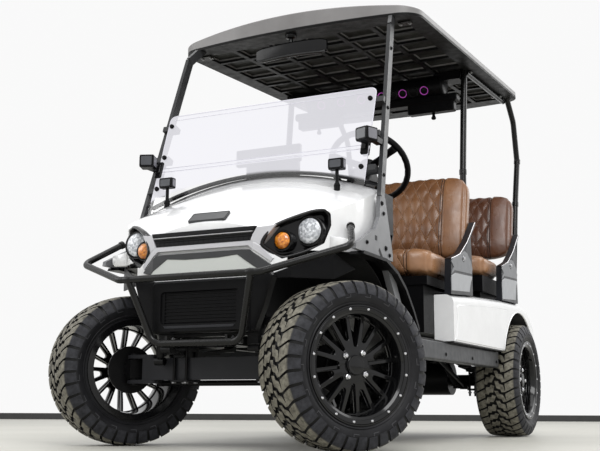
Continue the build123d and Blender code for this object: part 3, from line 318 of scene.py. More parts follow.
def lens_material(name, low, high, rough):
    """Faceted lamp glass seen over its reflector."""
    m = Mat(name, high, rough, Coat_Weight=1.0, Coat_Roughness=0.03)
    cells = m.node("TexVoronoi", {"feature": "F1"}, Vector=m.coord, Scale=120.0).outputs["Color"]
    rings = m.math("PINGPONG", m.radius(), 0.0065)
    tone = m.plus(m.times(m.xyz(cells)[0], 0.75), m.times(rings, 40.0))
    m.set("Base Color", m.ramp(tone, low, high, 0.15, 0.85))
    m.bump(cells, 0.5, 0.002)
    return m.mat


DEEP = (0.004, 0.004, 0.0045)
BROWN = leather("brown_leather", (0.085, 0.036, 0.016), (0.150, 0.068, 0.030), (0.20, 0.095, 0.045)).mat
BLACK = plastic("black_plastic", DEEP, 0.34, spec=0.10)
GLOSS = plastic("black_gloss", DEEP, 0.18, 0.06, spec=0.25)
GUARD = paint("guard_powder_coat", (0.005, 0.005, 0.005), 0.26, 0.12, spec=0.28)
WHITE = paint("white_gloss", (0.86, 0.865, 0.875), 0.2, 0.03, Coat_Weight=0.8, Coat_Roughness=0.04)
MATS = {
    "tyre": tyre_material(),
    "wheel_black": paint("wheel_gloss_black", DEEP, 0.13, spec=0.3, Coat_Weight=0.12, Coat_Roughness=0.04),
    "chassis_black": paint("chassis_satin_black", (0.0055, 0.0055, 0.006), 0.36, spec=0.16),
    "axle_grey": paint("axle_grey", (0.020, 0.0205, 0.024), 0.40, spec=0.2),
    "black_plastic": BLACK,
    "black_gloss": GLOSS,
    "grey_paint": paint("grey_powder_coat", (0.20, 0.205, 0.215), 0.36, 0.2, metal=0.35),
    "guard_black": GUARD,
    "white_paint": WHITE,
    "brown_leather": BROWN,
    "lamp_glass": plastic("lamp_glass", (0.7, 0.72, 0.75), 0.08, 0.1),
    "amber_glass": plastic("amber_glass", (0.9, 0.25, 0.01), 0.15, 0.1),
    "red_glass": plastic("red_glass", (0.30, 0.008, 0.008), 0.15, 0.1),
    "clear_pane": clear_material(),
}
CARCASS = groove_material()
# lighter rubber for the raised sidewall outlines: a painted highlight on their edges
OUTLINE_HIGHLIGHT = plastic("rubber_painted_highlight", (0.050, 0.050, 0.055), 0.5, spec=0.2)
# the grey and pale bracket tones are the black coat painted where it reflects the bright surroundings: painted
# reflection
BRACKET_DARK = paint("bracket_dark", (0.010, 0.011, 0.014), 0.34, 0.2, spec=0.3)
BRACKET_MID = paint("bracket_mid", (0.15, 0.155, 0.165), 0.34, 0.2, metal=0.3)
BRACKET_PALE = paint("bracket_pale", (0.36, 0.37, 0.385), 0.34, 0.2, metal=0.3)
STRUT = strut_material()
ROCKER = paint("rocker_grey", (0.040, 0.042, 0.046), 0.38, 0.1, spec=0.25)
SILVER = smooth_paint("silver_trim", (0.50, 0.50, 0.52), 0.30, metal=0.45)
CHROME = paint("bright_steel", (0.62, 0.62, 0.64), 0.18, 0.04, metal=0.95)
ZINC = paint("zinc_bolt", (0.30, 0.30, 0.31), 0.35, 0.1, metal=0.8)
CHARCOAL = plastic("charcoal_trim", (0.028, 0.029, 0.031), 0.33, 0.2, 700, spec=0.4)
# the white fascia under the nose, in a grey-green tone: painted shade
SHADED_FASCIA = smooth_paint("fascia_painted_shade", (0.52, 0.54, 0.52), 0.3)
RUBBER = plastic("rubber_seal", DEEP, 0.3, 0.12, 500, spec=0.2)
LENS = lens_material("headlamp_lens", (0.30, 0.32, 0.35), (0.82, 0.84, 0.88), 0.12)
AMBER = lens_material("turn_lamp_lens", (0.42, 0.10, 0.004), (0.90, 0.32, 0.02), 0.14)
RED = lens_material("tail_lamp_lens", (0.16, 0.003, 0.003), (0.45, 0.012, 0.010), 0.14)
# one leather in three tones: the rear backrest's darker copy is painted shade, the seat cushions' lighter copy
# painted light
QUILTS = {key: quilted("leather_" + key, half, up_face, *tones) for key, half, up_face, *tones in (
    ("back", 0.445, "z", (0.085, 0.034, 0.014), (0.165, 0.073, 0.031), (0.235, 0.115, 0.053)),
    ("rear", 0.445, "z", (0.048, 0.019, 0.010), (0.092, 0.036, 0.019), (0.135, 0.060, 0.034)),
    ("seat", 0.430, "y", (0.115, 0.050, 0.022), (0.215, 0.105, 0.050), (0.290, 0.150, 0.075)),
)}
SLOT = {row["node"]: row["material_slot"] for row in frame["record"]["subparts"]}
OWN = {"roof": roof_material(), "rocker_panels": ROCKER, "front_struts": STRUT, "seat_brackets": BRACKET_DARK}
for name, obj in NODES.items():
    obj.data.materials.clear()
    obj.data.materials.append(OWN.get(name, MATS[SLOT[name]]))


# ---------------------------------------------------------------- places
move = Matrix.Translation


def P(x, station, z):
    """A place given by its distance behind the front axle."""
    return Vector((x, FRONT_Y + station, z))


def at(x, station, z):
    return move(P(x, station, z))


def axes(*rows):
    return Matrix((*[(*row, 0) for row in rows], (0, 0, 0, 1)))


def flank(side, y=FRONT_Y, z=0.0, x=0.0):
    """Local XY to world YZ on one side, Z outwards."""
    return move((x, y, z)) @ axes((0, 0, side), (1, 0, 0), (0, 1, 0))


FACE_FRONT = axes((1, 0, 0), (0, 0, -1), (0, 1, 0))   # local XY to world XZ, Z to -Y
FACE_BACK = axes((-1, 0, 0), (0, 0, 1), (0, 1, 0))    # the same seen from behind, Z to Y
AHEAD = axes((0, 1, 0), (-1, 0, 0), (0, 0, 1))        # local X points forwards
X_TO_Z = axes((0, 0, -1), (0, 1, 0), (1, 0, 0))


def frame_at(origin, x, z):
    """Matrix whose local X and Z point along x and z."""
    z = Vector(z).normalized()
    x = Vector(x)
    x = (x - z * x.dot(z)).normalized()
    return move(origin) @ Matrix((x, z.cross(x), z)).transposed().to_4x4()


def axle(origin, direction):
    """Matrix whose local X, which a turned shape is made about, points along the direction."""
    return frame_at(origin, direction, (1, 0, 0) if abs(direction[0]) < 0.5 else (0, 0, 1))


def around(k, n, *place):
    """The k-th of n equal places around the local X axis."""
    return Matrix.Rotation(TAU * k / n, 4, "X") @ move(place or (0, 0, 0))


def mm(*numbers):
    """Points in metres from a run of millimetres."""
    return [(a / 1000, b / 1000) for a, b in zip(numbers[::2], numbers[1::2])]


def mirrored(points):
    """The outline closed by its own reflection in x."""
    return points + [(-x, z) for x, z in reversed(points)]


def along(stops, value):
    """Reads a line through the stops, level beyond its ends."""
    value = max(stops[0][0], min(stops[-1][0], value))
    for (a, fa), (b, fb) in zip(stops, stops[1:]):
        if value <= b:
            return fa + (fb - fa) * (value - a) / (b - a)


def rect(x0, x1, y0, y1):
    return [(x0, y0), (x1, y0), (x1, y1), (x0, y1)]


def round_rect(w, h, r, steps=4, cx=0.0, cy=0.0):
    pts = []
    for sx, sy, start in ((1, 1, 0), (-1, 1, 90), (-1, -1, 180), (1, -1, 270)):
        for k in range(steps + 1):
            a = math.radians(start + 90 * k / steps)
            pts.append((cx + sx * (w / 2 - r) + r * math.cos(a), cy + sy * (h / 2 - r) + r * math.sin(a)))
    return pts


def ngon(r, n=24, cx=0.0, cy=0.0):
    return [(cx + r * math.cos(TAU * k / n), cy + r * math.sin(TAU * k / n)) for k in range(n)]


def inset(outline, d):
    """The outline moved inwards by d; it runs anticlockwise or clockwise."""
    if not d:
        return [tuple(p) for p in outline]
    n = len(outline)
    area = sum(a[0] * b[1] - b[0] * a[1] for a, b in zip(outline, outline[1:] + outline[:1]))
    sign = 1 if area > 0 else -1
    result = []
    for i in range(n):
        p, a, b = (Vector(outline[j][:2]) for j in (i, i - 1, (i + 1) % n))
        e, g = (p - a).normalized(), (b - p).normalized()
        na, nb = Vector((-e.y, e.x)) * sign, Vector((-g.y, g.x)) * sign
        m = na + nb
        m = m / max(0.35, m.dot(na)) if m.length > 1e-6 else na
        result.append(tuple(p + m * d))
    return result


def rounded(points, r, steps=5, closed=False):
    """A line of points with each corner turned by an arc-like curve."""
    pts = [Vector(p) for p in points]
    n = len(pts)
    out = [] if closed else [pts[0]]
    for i in range(n) if closed else range(1, n - 1):
        a, p, b = pts[i - 1], pts[i], pts[(i + 1) % n]
        cut = min(r, (a - p).length * 0.48, (b - p).length * 0.48)
        s, e = p + (a - p).normalized() * cut, p + (b - p).normalized() * cut
        out += [s * (1 - t) ** 2 + p * 2 * t * (1 - t) + e * t ** 2 for t in (k / steps for k in range(steps + 1))]
    return out if closed else out + [pts[-1]]


# ---------------------------------------------------------------- shapes
def linked(name, data):
    obj = bpy.data.objects.new(name, data)
    bpy.context.scene.collection.objects.link(obj)
    return obj


def written(bm, name):
    """A new mesh from a bmesh, which is then freed."""
    mesh = bpy.data.meshes.new(name)
    bm.to_mesh(mesh)
    bm.free()
    return mesh


def evaluated(obj):
    """A new mesh of the object as its modifiers or its curve make it."""
    return bpy.data.meshes.new_from_object(obj.evaluated_get(bpy.context.evaluated_depsgraph_get()))


class Piece:
    """Collects faces, then becomes one object that rides on a body."""

    def __init__(self):
        self.v, self.f, self.m = [], [], []

    def add(self, verts, faces, mat=0, at=None):
        n = len(self.v)
        self.v += [tuple(at @ Vector(p)) if at is not None else tuple(p) for p in verts]
        self.f += [[n + i for i in face] for face in faces]
        self.m += [mat] * len(faces)
        return self

    def moved(self, at):
        """A copy of the piece, moved by a matrix."""
        copy = Piece()
        copy.v = [tuple(at @ Vector(p)) for p in self.v]
        copy.f, copy.m = self.f, self.m
        return copy

    def loft(self, rings, mat=0, at=None, closed=False, first=True, last=True):
        """A skin over rings of one length, closed onto itself or with an end face on its first and last ring."""
        n, count = len(rings[0]), len(rings)
        faces = []
        for i in range(count if closed else count - 1):
            j = (i + 1) % count
            faces += [[i * n + k, i * n + (k + 1) % n, j * n + (k + 1) % n, j * n + k] for k in range(n)]
        if first and not closed:
            faces.append(list(range(n))[::-1])
        if last and not closed:
            faces.append([(count - 1) * n + k for k in range(n)])
        return self.add([p for ring in rings for p in ring], faces, mat, at)

    def lathe(self, profile, n=32, mat=0, at=None, closed=False):
        """Turned about X from (x, r) points; a point with r 0 closes the end."""
        verts, faces, rings = [], [], []
        for x, r in profile:
            count = n if r else 1
            rings.append(list(range(len(verts), len(verts) + count)))
            verts += [spin(x, r, TAU * k / n) for k in range(count)]
        for a, b in list(zip(rings, rings[1:])) + ([(rings[-1], rings[0])] if closed else []):
            for k in range(n):
                quad = [a[k % len(a)], a[(k + 1) % len(a)], b[(k + 1) % len(b)], b[k % len(b)]]
                face = [i for j, i in enumerate(quad) if i not in quad[:j]]
                if len(face) > 2:
                    faces.append(face)
        return self.add(verts, faces, mat, at)

    def prism(self, outline, low, high, bevel=0.0, mat=0, at=None):
        """A flat piece in local XY between two heights, with bevelled edges."""
        rings = [(low + bevel, 0), (high - bevel, 0)]
        if bevel:
            rings = [(low, bevel), *rings, (high, bevel)]
        return self.loft([[(x, y, z) for x, y in inset(outline, d)] for z, d in rings], mat, at)

    def tube(self, points, radius, n=12, mat=0, at=None, closed=False):
        """Round bar along points; radius may be one value or one per point."""
        pts = [Vector(p) for p in points]
        count = len(pts)
        radii = radius if isinstance(radius, list) else [radius] * count
        rings, normal = [], None
        for i, p in enumerate(pts):
            a = pts[(i - 1) % count] if closed or i else p
            b = pts[(i + 1) % count] if closed or i < count - 1 else p
            t = (b - a).normalized()
            if normal is None:
                normal = t.orthogonal().normalized() if abs(t.z) > 0.9 else t.cross(Vector((0, 0, 1))).normalized()
            normal = (normal - t * normal.dot(t)).normalized()
            other = t.cross(normal)
            rings.append([p + (normal * c + other * s) * radii[i] for c, s in ngon(1.0, n)])
        return self.loft(rings, mat, at, closed)

    def bolt(self, place, direction, r=0.007, h=0.005, mat=0, washer=True):
        """Hexagon bolt head on a washer."""
        at = frame_at(place, Vector(direction).orthogonal(), direction)
        if washer:
            self.prism(ngon(r * 1.45, 16), 0, h * 0.3, h * 0.1, mat, at)
        self.prism(ngon(r, 6), h * 0.3, h * 1.3, h * 0.25, mat, at)

    def make(self, name, mats, slot="black_plastic", replaces=None, body="chassis", at=None, smooth=35):
        """The finished object; faces that meet at more than smooth degrees keep a sharp edge."""
        mesh = bpy.data.meshes.new(name)
        mesh.from_pydata(self.v, [], self.f)
        for m in mats:
            mesh.materials.append(m)
        mesh.polygons.foreach_set("material_index", self.m)
        bm = bmesh.new()
        bm.from_mesh(mesh)
        bmesh.ops.recalc_face_normals(bm, faces=bm.faces)
        bm.normal_update()
        for face in bm.faces:
            face.smooth = True
        for edge in bm.edges:
            if len(edge.link_faces) == 2 and edge.calc_face_angle(0) > math.radians(smooth):
                edge.smooth = False
        bm.to_mesh(mesh)
        bm.free()
        obj = linked(name, mesh)
        if at is not None:
            obj.matrix_world = at
        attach(obj, body)
        if replaces:
            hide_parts(replaces)
        return obj


def spin(x, r, angle):
    return (x, r * math.cos(angle), r * math.sin(angle))


# ---------------------------------------------------------------- tyres
PITCHES = 36
PITCH = TAU / PITCHES
PITCH_LENGTH, TREAD_R, GAP = 0.051, 0.29, 0.0052   # one pitch round the tread, its radius, half a groove
ZIGZAG = mm(-118, 12, -95, 10, -49, -13, 49, 13, 95, -10, 118, -12)
SIDE_X = mm(203, 98, 212, 104, 224, 110, 236, 113.5, 240, 113.2, 260, 107)
TYRE_HALF = mm(98, 178, 98, 203, 104, 212, 110, 224, 113.5, 236, 113.2, 240, 110.5, 248, 107, 260, 100, 272,
               92, 279, 70, 281.5, 35, 283, 0, 283.5)
LUG_PATH = mm(52.5, 290, 74, 288.4, 91.5, 286.2, 98.5, 281.5, 104.5, 271, 110.5, 256, 114, 245)
LONG_END, SHORT_END = (0.1147, 0.2385), (0.1143, 0.2425)


def zigzag(x):
    """How far round the tyre the cross groove lies at x, in metres."""
    return along(ZIGZAG, x)


def crown(x):
    """Radius of the tyre's tread at x."""
    return AXLE_Z - 0.006 * (abs(x) / 0.095) ** 2


def tread_block(p, rows, floor, drop):
    """A block from rows of (x, angle), its top edges lower by drop, its sides straight down to the floor."""
    nr, nc = len(rows), len(rows[0])
    top = [spin(x, crown(x) - (drop if i in (0, nr - 1) or j in (0, nc - 1) else 0), a)
           for i, row in enumerate(rows) for j, (x, a) in enumerate(row)]
    faces = [[a, a + 1, a + nc + 1, a + nc] for i in range(nr - 1) for a in range(i * nc, i * nc + nc - 1)]
    ring = [*range(nc), *range(2 * nc - 1, nr * nc, nc), *range(nr * nc - 2, (nr - 1) * nc - 1, -1),
            *range((nr - 2) * nc, 0, -nc)]
    base, n = len(top), len(ring)
    foot = [spin(rows[i // nc][i % nc][0], floor, rows[i // nc][i % nc][1]) for i in ring]
    faces += [[ring[k], ring[(k + 1) % n], base + (k + 1) % n, base + k] for k in range(n)]
    p.add(top + foot, faces)


def shoulder_lug(p, sign, start, path):
    """A lug that wraps down the side, in rows of five points: the top's edges and middle, then its feet."""
    verts, faces = [], []
    for i, (x, r) in enumerate(path):
        half = GAP + (0.0010 if i > 2 else 0)
        parts = (half, PITCH_LENGTH * 0.5, PITCH_LENGTH - half)
        turns = [start + (part + zigzag(sign * x)) / TREAD_R for part in parts]
        verts += [spin(sign * x, r, a) for a in turns]
        deep = 0.0085 if i < 4 else 0.0075 - 0.0008 * (i - 4)
        # the feet go down on the tread, both ways at its corner, and inwards on the side
        inwards, down = (0, deep) if i < 3 else (deep * 0.6, deep * 0.7) if i == 3 else (deep, 0.001)
        verts += [spin(sign * (x - inwards), r - down, a) for a in (turns[0] - 0.004, turns[2] + 0.004)]
    for a in range(0, 5 * (len(path) - 1), 5):
        b = a + 5
        faces += [[a + i, a + j, b + j, b + i] for i, j in ((0, 1), (1, 2), (3, 0), (2, 4))]
    end = 5 * (len(path) - 1)
    faces += [[0, 3, 4, 2, 1], [end, end + 1, end + 2, end + 4, end + 3]]
    p.add(verts, faces)


def tyre_piece():
    p = Piece()
    p.lathe(TYRE_HALF + [(-x, r) for x, r in reversed(TYRE_HALF[:-1])], 108, 1, closed=True)
    # a fine raised ring above the rim
    for sign in SIDES:
        p.lathe([(sign * x, r) for x, r in mm(100.5, 204.5, 104, 205, 107.5, 211, 106, 213)], 96, 1, closed=True)
    for k in range(PITCHES):
        start = k * PITCH
        # two slanted blocks in the middle of the tread
        for low, high, shift, hand in ((0.0050, 0.0480, 0.0, 1), (-0.0480, -0.0050, 0.0255, -1)):
            rows = []
            for t in (0.0, 0.25, 0.5, 0.75, 1.0):
                row = []
                for s in (0.0, 0.44, 0.56, 1.0):
                    slant = (t - 0.5) * 0.017 * hand * (1 if k % 2 else 0.55)
                    x = low + (high - low) * s + slant
                    corner = (0.0030 if t == 0.0 else -0.0030) if s in (0.0, 1.0) and t in (0.0, 1.0) else 0.0
                    hook = 0.0065 if (s > 0.5) == (hand > 0) else -0.0065
                    run = GAP + zigzag(x) * 0.7 + hook + shift + (PITCH_LENGTH - 2 * GAP) * t
                    row.append((x, start + run / 0.2895 + corner / TREAD_R))
                rows.append(row)
            tread_block(p, rows, 0.280, 0.0013)
        for sign in SIDES:
            long_lug = (k + (sign > 0)) % 2
            shoulder_lug(p, sign, start, LUG_PATH + [LONG_END if long_lug else SHORT_END])
            if long_lug:
                continue
            # a thin stepped outline below every other lug, its lighter rubber a painted highlight
            a0, a1 = start + 0.35 * PITCH, start + 0.92 * PITCH
            for lo, hi, end in ((0.2295, 0.2318, a1), (0.2318, 0.2400, a0 + 0.010)):
                loop = [(lo, a0), (lo, end), (hi, end), (hi, a0)]
                rings = [[spin(sign * (along(SIDE_X, r) + off), r, a) for r, a in loop] for off in (-0.002, 0.0012)]
                p.loft(rings, 2, first=False)
    return p


# ---------------------------------------------------------------- wheels
SPOKES = 16
DISC_R = 0.1700
WINDOW_END, WINDOW_HALF = 0.1645, 0.164                   # outer radius and half angle of an opening
WINDOW_STARTS = ((0.084, 0.0120), (0.060, 0.0090))        # inner radius and corner of the short and the long one
NUT_CIRCLE = 0.051


def window(inner, corner, mid):
    """Outline of one opening between spokes: a rounded inner end, sharper outer corners."""
    wide = WINDOW_HALF * WINDOW_END
    half = [(WINDOW_END - 0.006, wide), (WINDOW_END - 0.001, wide - 0.005)]
    half.append((math.sqrt(WINDOW_END ** 2 - wide ** 2 / 4), wide / 2))
    turns = [math.pi * k / 6 for k in range(7)]
    pts = [(inner + corner - corner * math.sin(a), -corner * math.cos(a)) for a in turns]
    pts += half + [(WINDOW_END, 0)] + [(x, -y) for x, y in reversed(half)]
    c, s = math.cos(mid), math.sin(mid)
    return [(x * c - y * s, x * s + y * c) for x, y in pts]


def spoke_disc():
    """The face of the wheel with its openings, as a mesh in local XY, thickness along Z."""
    curve = bpy.data.curves.new("disc", "CURVE")
    curve.dimensions = "2D"
    curve.fill_mode = "BOTH"
    curve.extrude = 0.0075
    curve.bevel_depth = 0.0022
    curve.bevel_resolution = 1
    loops = [ngon(DISC_R, 96)]
    loops += [window(*WINDOW_STARTS[k % 2], TAU * (k + 0.5) / SPOKES) for k in range(SPOKES)]
    loops += [ngon(0.0125, 16, *spin(0, NUT_CIRCLE, TAU * (k + 0.5) / 4)[1:]) for k in range(4)]
    for loop in loops:
        spline = curve.splines.new("POLY")
        spline.points.add(len(loop) - 1)
        for point, (x, y) in zip(spline.points, loop):
            point.co = (x, y, 0, 1)
        spline.use_cyclic_u = True
    obj = linked("disc", curve)
    mesh = evaluated(obj)
    # each spoke is ridged: the face stands proud towards the hub
    verts = []
    for v in mesh.vertices:
        out = min(1, math.hypot(v.co.x, v.co.y) / 0.165)
        verts.append(v.co + Vector((0, 0, 0.012 * (1 - out) - 0.006 * out)))
    faces = [list(f.vertices) for f in mesh.polygons]
    bpy.data.objects.remove(obj)
    bpy.data.meshes.remove(mesh)
    return verts, faces


def rim_piece():
    p = Piece()
    barrel = mm(107, 198.5, 106.5, 203, 98.3, 203, 98.3, 178, 80, 170, -80, 170, -98.3, 178, -98.3, 195, -107, 195,
                -107, 171.5, -92, 168, 40, 166, 60, 165.5, 88, 168.5, 98, 173, 103.5, 181.5, 104, 197)
    p.lathe(barrel, 96, closed=True)
    # bolted ring round the lip
    p.lathe(mm(103, 182, 105.2, 183, 106, 184.5, 106, 196.5, 104, 199), 96)
    for k in range(SPOKES):
        p.lathe(mm(0, 5.2, 1.4, 5.2, 3.2, 4, 4.2, 1.8, 4.4, 0), 10, 1, around(k + 0.25, SPOKES, 0.1058, 0.1905, 0))
        # webs behind the spokes, joining them to the barrel
        web = mm(150, 46, 168, 38, 168, 10, 120, 20, 60, 38, 60, 46)
        p.loft([[(x, r, y) for r, x in web] for y in (-0.004, 0.004)], 0, around(k, SPOKES))
    p.add(*spoke_disc(), 0, flank(1, 0, 0, 0.052))
    # hub and its cap
    p.lathe(mm(12, 17.6, 12, 40, 44, 40, 50, 60, 64, 60, 65.5, 57), 48)
    p.lathe(mm(65.5, 57, 66, 36, 74, 34, 77, 30, 78.2, 26, 78.8, 0), 48)
    p.lathe(mm(75.2, 33.5, 77.8, 31.8, 78.6, 28.8, 78, 26.8), 48)
    for k in range(4):
        nut = around(k + 0.5, 4, 0.058, NUT_CIRCLE, 0)
        p.prism(ngon(0.0105, 6), 0, 0.019, 0.002, 1, nut @ flank(1, 0))
        p.lathe(mm(19, 8, 22, 6, 23.5, 0), 12, 1, nut)
    # valve
    return p.tube([(0.088, 0.156, 0.012), (0.097, 0.150, 0.012), (0.106, 0.146, 0.012)], 0.0035, 8)


TURN = math.radians(32.7)
KING_X, KING_OUT, REAR_X = 0.419, 0.090, 0.532
KING_DX, KING_DY = KING_OUT * math.cos(TURN), KING_OUT * math.sin(TURN)
WHEELS = {
    "front_left": (KING_X + KING_DX, -KING_DY, -TURN),
    "front_right": (-KING_X - KING_DX, KING_DY, math.pi - TURN),
    "rear_left": (REAR_X, WHEELBASE, 0.0),
    "rear_right": (-REAR_X, WHEELBASE, math.pi),
}
tyre_shape, rim_shape = tyre_piece(), rim_piece()
# ribbed drum behind the spokes
ribs = mm(-40, 30, -40, 52, -36, 56, -24, 56, -22, 52, -18, 52, -16, 56, -6, 56, -2, 52, 1, 60, 1, 44)
drum = Piece().lathe(ribs, 48)
for k in range(5):
    drum.bolt(spin(0.001, 0.047, TAU * k / 5), (1, 0, 0), 0.006, 0.004, 1, False)
for index, (label, (x, station, turn)) in enumerate(WHEELS.items()):
    place = at(x, station, AXLE_Z) @ Matrix.Rotation(turn, 4, "Z")
    rolled = Matrix.Rotation(0.13 + 0.3 * index, 4, "X")
    body = "wheel_" + label
    tyre = tyre_shape.moved(rolled)
    tyre.make("tread_" + label, [MATS["tyre"], CARCASS, OUTLINE_HIGHLIGHT], "tyre", "tyre_" + label, body, place, 32)
    rim = rim_shape.moved(rolled)
    rim.make("wheel_face_" + label, [MATS["wheel_black"], CHROME], "wheel_black", "rim_" + label, body, place, 30)
    drum.make("drum_" + label, [MATS["chassis_black"], ZINC], "chassis_black", None, body, place)


# ---------------------------------------------------------------- cushions
def bake(obj):
    """Applies the object's modifiers."""
    mesh, old = evaluated(obj), obj.data
    obj.modifiers.clear()
    obj.data = mesh
    bpy.data.meshes.remove(old)


def soften(obj, voxel, cap, frames=20):
    """Remesh, swell by cloth pressure, cap the movement, and smooth once."""
    mod = obj.modifiers.new("remesh", "REMESH")
    mod.mode = "VOXEL"
    mod.voxel_size = voxel
    bake(obj)
    start = [v.co.copy() for v in obj.data.vertices]
    cloth = obj.modifiers.new("swell", "CLOTH").settings
    cloth.quality = 3
    cloth.use_pressure = True
    cloth.uniform_pressure_force = 4.0
    cloth.effector_weights.gravity = 0
    cloth.tension_stiffness = cloth.compression_stiffness = 15
    cloth.bending_stiffness = 0.5
    for step in range(1, frames + 1):
        bpy.context.scene.frame_set(step)
    bake(obj)
    bpy.context.scene.frame_set(1)
    capped = []
    for v, s in zip(obj.data.vertices, start):
        reach = v.co - s
        capped.extend(s + reach * min(1.0, cap / max(reach.length, 1e-9)))
    obj.data.vertices.foreach_set("co", capped)
    obj.modifiers.new("smooth", "SUBSURF").levels = 1
    bake(obj)


def pad_body(half, depth, height, crown_front, pinch=0.009, power=6.0):
    """Closed crowned block: x across, y through its thickness, z up; its sides pull in between corners."""
    bm = bmesh.new()
    bmesh.ops.create_cube(bm, size=2.0)
    bmesh.ops.subdivide_edges(bm, edges=bm.edges[:], cuts=15, use_grid_fill=True)
    for v in bm.verts:
        # round the box: push towards a superellipsoid
        length = sum(abs(c) ** power for c in v.co) ** (1 / power)
        x, y, z = (c / length for c in v.co)
        bulge = crown_front * (1 - x ** 4) * (1 - z ** 4) * abs(y) ** 3 * (1.0 if y < 0 else 0.35)
        v.co = (x * half - x * pinch * (1 - z * z),
                y * depth / 2 + math.copysign(bulge, y),
                z * height / 2 - z * pinch * (1 - x * x))
    return written(bm, "pad")


def limited(value):
    return max(0.0, min(1.0, value))


def cushion(name, node, body, size, place, material, seam_x, crown_front, cap, up):
    """A stitched leather pad that fills a box of this half width, depth and height; up is its face's axis."""
    half, depth, height = size
    obj = linked(name, pad_body(half - 0.012, depth - 0.020, height - 0.020, crown_front))
    soften(obj, 0.0125, cap)
    mesh = obj.data
    box = (half, depth / 2, height / 2)
    reach = [max(abs(v.co[i]) for v in mesh.vertices) for i in range(3)]
    mesh.vertices.foreach_set("co", [v.co[i] * box[i] / reach[i] for v in mesh.vertices for i in range(3)])
    mesh.update()
    # stitched diamonds, the seam beside them and the piping round the end panels
    normals = [tuple(n.vector) for n in mesh.vertex_normals]
    moved = []
    for (x, y, z), normal in zip([tuple(v.co) for v in mesh.vertices], normals):
        front = limited((-y / box[1] + 0.15) / 0.5)
        if up == "y":
            front = max(front, limited((z / box[2] - 0.2) / 0.5))
        u, v = x / DIAMOND[0], (z if up == "z" else z - y) / DIAMOND[1]
        puff = abs(math.sin(math.pi * (u + v)) * math.sin(math.pi * (u - v))) ** 0.6
        drop = max((1 - puff) * 0.0055 * (abs(x) < seam_x) * front,
                   0.0075 * max(0.0, 1 - abs(abs(x) - seam_x) / 0.012) ** 1.5 * front,
                   0.004 * max(0.0, 1 - abs(abs(x) - (half - 0.018)) / 0.009))
        x, y, z = (c - n * drop for c, n in zip((x, y, z), normal))
        moved += [x, y, max(z, -box[2]) if up == "y" else z]
    mesh.vertices.foreach_set("co", moved)
    mesh.materials.clear()
    mesh.materials.append(material)
    for poly in mesh.polygons:
        poly.use_smooth = True
    obj.matrix_world = place
    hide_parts(node)
    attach(obj, body)


LEAN = math.radians(12)
BACK_HALF, BACK_DEPTH, BACK_SEAM = 0.560, 0.130, 0.445
# station and height of the low front edge of each backrest, and its height
BACKS = {"front": (1.170, 0.8496, 0.422, "back"), "rear": (2.025, 0.968, 0.372, "rear")}


def leaning(station, low_z, height):
    """Centre of a reclined back cushion."""
    upward = Vector((0, math.sin(LEAN), math.cos(LEAN)))
    back = Vector((0, math.cos(LEAN), -math.sin(LEAN)))
    return frame_at(P(0, station, low_z) + upward * height / 2 + back * BACK_DEPTH / 2, (1, 0, 0), upward)


for label, (station, low_z, height, quilt) in BACKS.items():
    cushion("back_" + label, label + "_backrest", "chassis", (BACK_HALF, BACK_DEPTH, height),
            leaning(station, low_z, height), QUILTS[quilt], BACK_SEAM, 0.030, 0.012, "z")
for label, body, depth, height, station, z in (("front", "seat_lid", 0.420, 0.135, 0.955, 0.7681),
                                               ("rear", "chassis", 0.390, 0.118, 1.790, 0.862)):
    cushion("seat_" + label, label + "_cushion", body, (0.530, depth, height), at(0, station, z),
            QUILTS["seat"], 0.430, 0.018, 0.010, "y")


# ---------------------------------------------------------------- nose
NOSE_PLAN = mm(0, -190, 210, -190, 335, -135, 455, -35, 520, 80)   # across, station of the face
EDGE_WIDTH, EDGE_ANGLE = 0.0012, math.radians(40)


def nose_trim(name, outlines, off, thick, material):
    """Flat outlines in (x, z), bent round the nose and given a thickness."""
    bm = bmesh.new()
    for outline in outlines:
        bm.faces.new([bm.verts.new((x, 0, z)) for x, z in outline])
    for x in (-0.335, -0.21, 0.21, 0.335):
        everything = bm.verts[:] + bm.edges[:] + bm.faces[:]
        bmesh.ops.bisect_plane(bm, geom=everything, plane_co=(x, 0, 0), plane_no=(1, 0, 0))
    for v in bm.verts:
        v.co.y = FRONT_Y + along(NOSE_PLAN, abs(v.co.x)) - off
    made = bmesh.ops.extrude_face_region(bm, geom=bm.faces[:])
    for v in (g for g in made["geom"] if isinstance(g, bmesh.types.BMVert)):
        v.co.y += thick
    bmesh.ops.recalc_face_normals(bm, faces=bm.faces[:])
    obj = linked(name, written(bm, name))
    obj.data.materials.append(material)
    mod = obj.modifiers.new("edge", "BEVEL")
    mod.width, mod.segments, mod.limit_method, mod.angle_limit = EDGE_WIDTH, 2, "ANGLE", EDGE_ANGLE
    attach(obj, "chassis")


def both_sides(points):
    return [[(s * x, z) for x, z in points] for s in SIDES]


low_frame = mm(200, 730.5, 232, 713, 279, 667, 269, 653, 191, 712.5)
end_frame = mm(200, 730.5, 222, 777.5, 252, 781, 286, 787, 232, 713)
band = mm(166, 700, 199, 697.5, 273, 642, 228, 629, 148, 683, 70, 677)
panel = mm(246, 612, 229, 631, 148, 684.5, 70, 678.5)
nose_corner = mm(262, 597, 455, 597, 500, 640, 455, 690, 335, 636, 262, 607)
nose_trim("nose_silver_frame", [mirrored(low_frame)], 0.006, 0.018, SILVER)
nose_trim("nose_silver_ends", both_sides(end_frame), 0.0062, 0.034, SILVER)
nose_trim("nose_charcoal_band", [mirrored(band)], 0.0085, 0.012, CHARCOAL)
# the lower panel is white fascia painted grey-green: painted shade
nose_trim("nose_lower_panel", [mirrored(panel)], 0.0060, 0.009, SHADED_FASCIA)
nose_trim("nose_black_corners", both_sides(nose_corner), 0.0075, 0.009, BLACK)

grille = Piece()
front = at(0, -0.186, 0) @ FACE_FRONT
grille.prism(mirrored(mm(222, 782, 200, 728.5)), 0.0, 0.004, 0.0, 0, front)
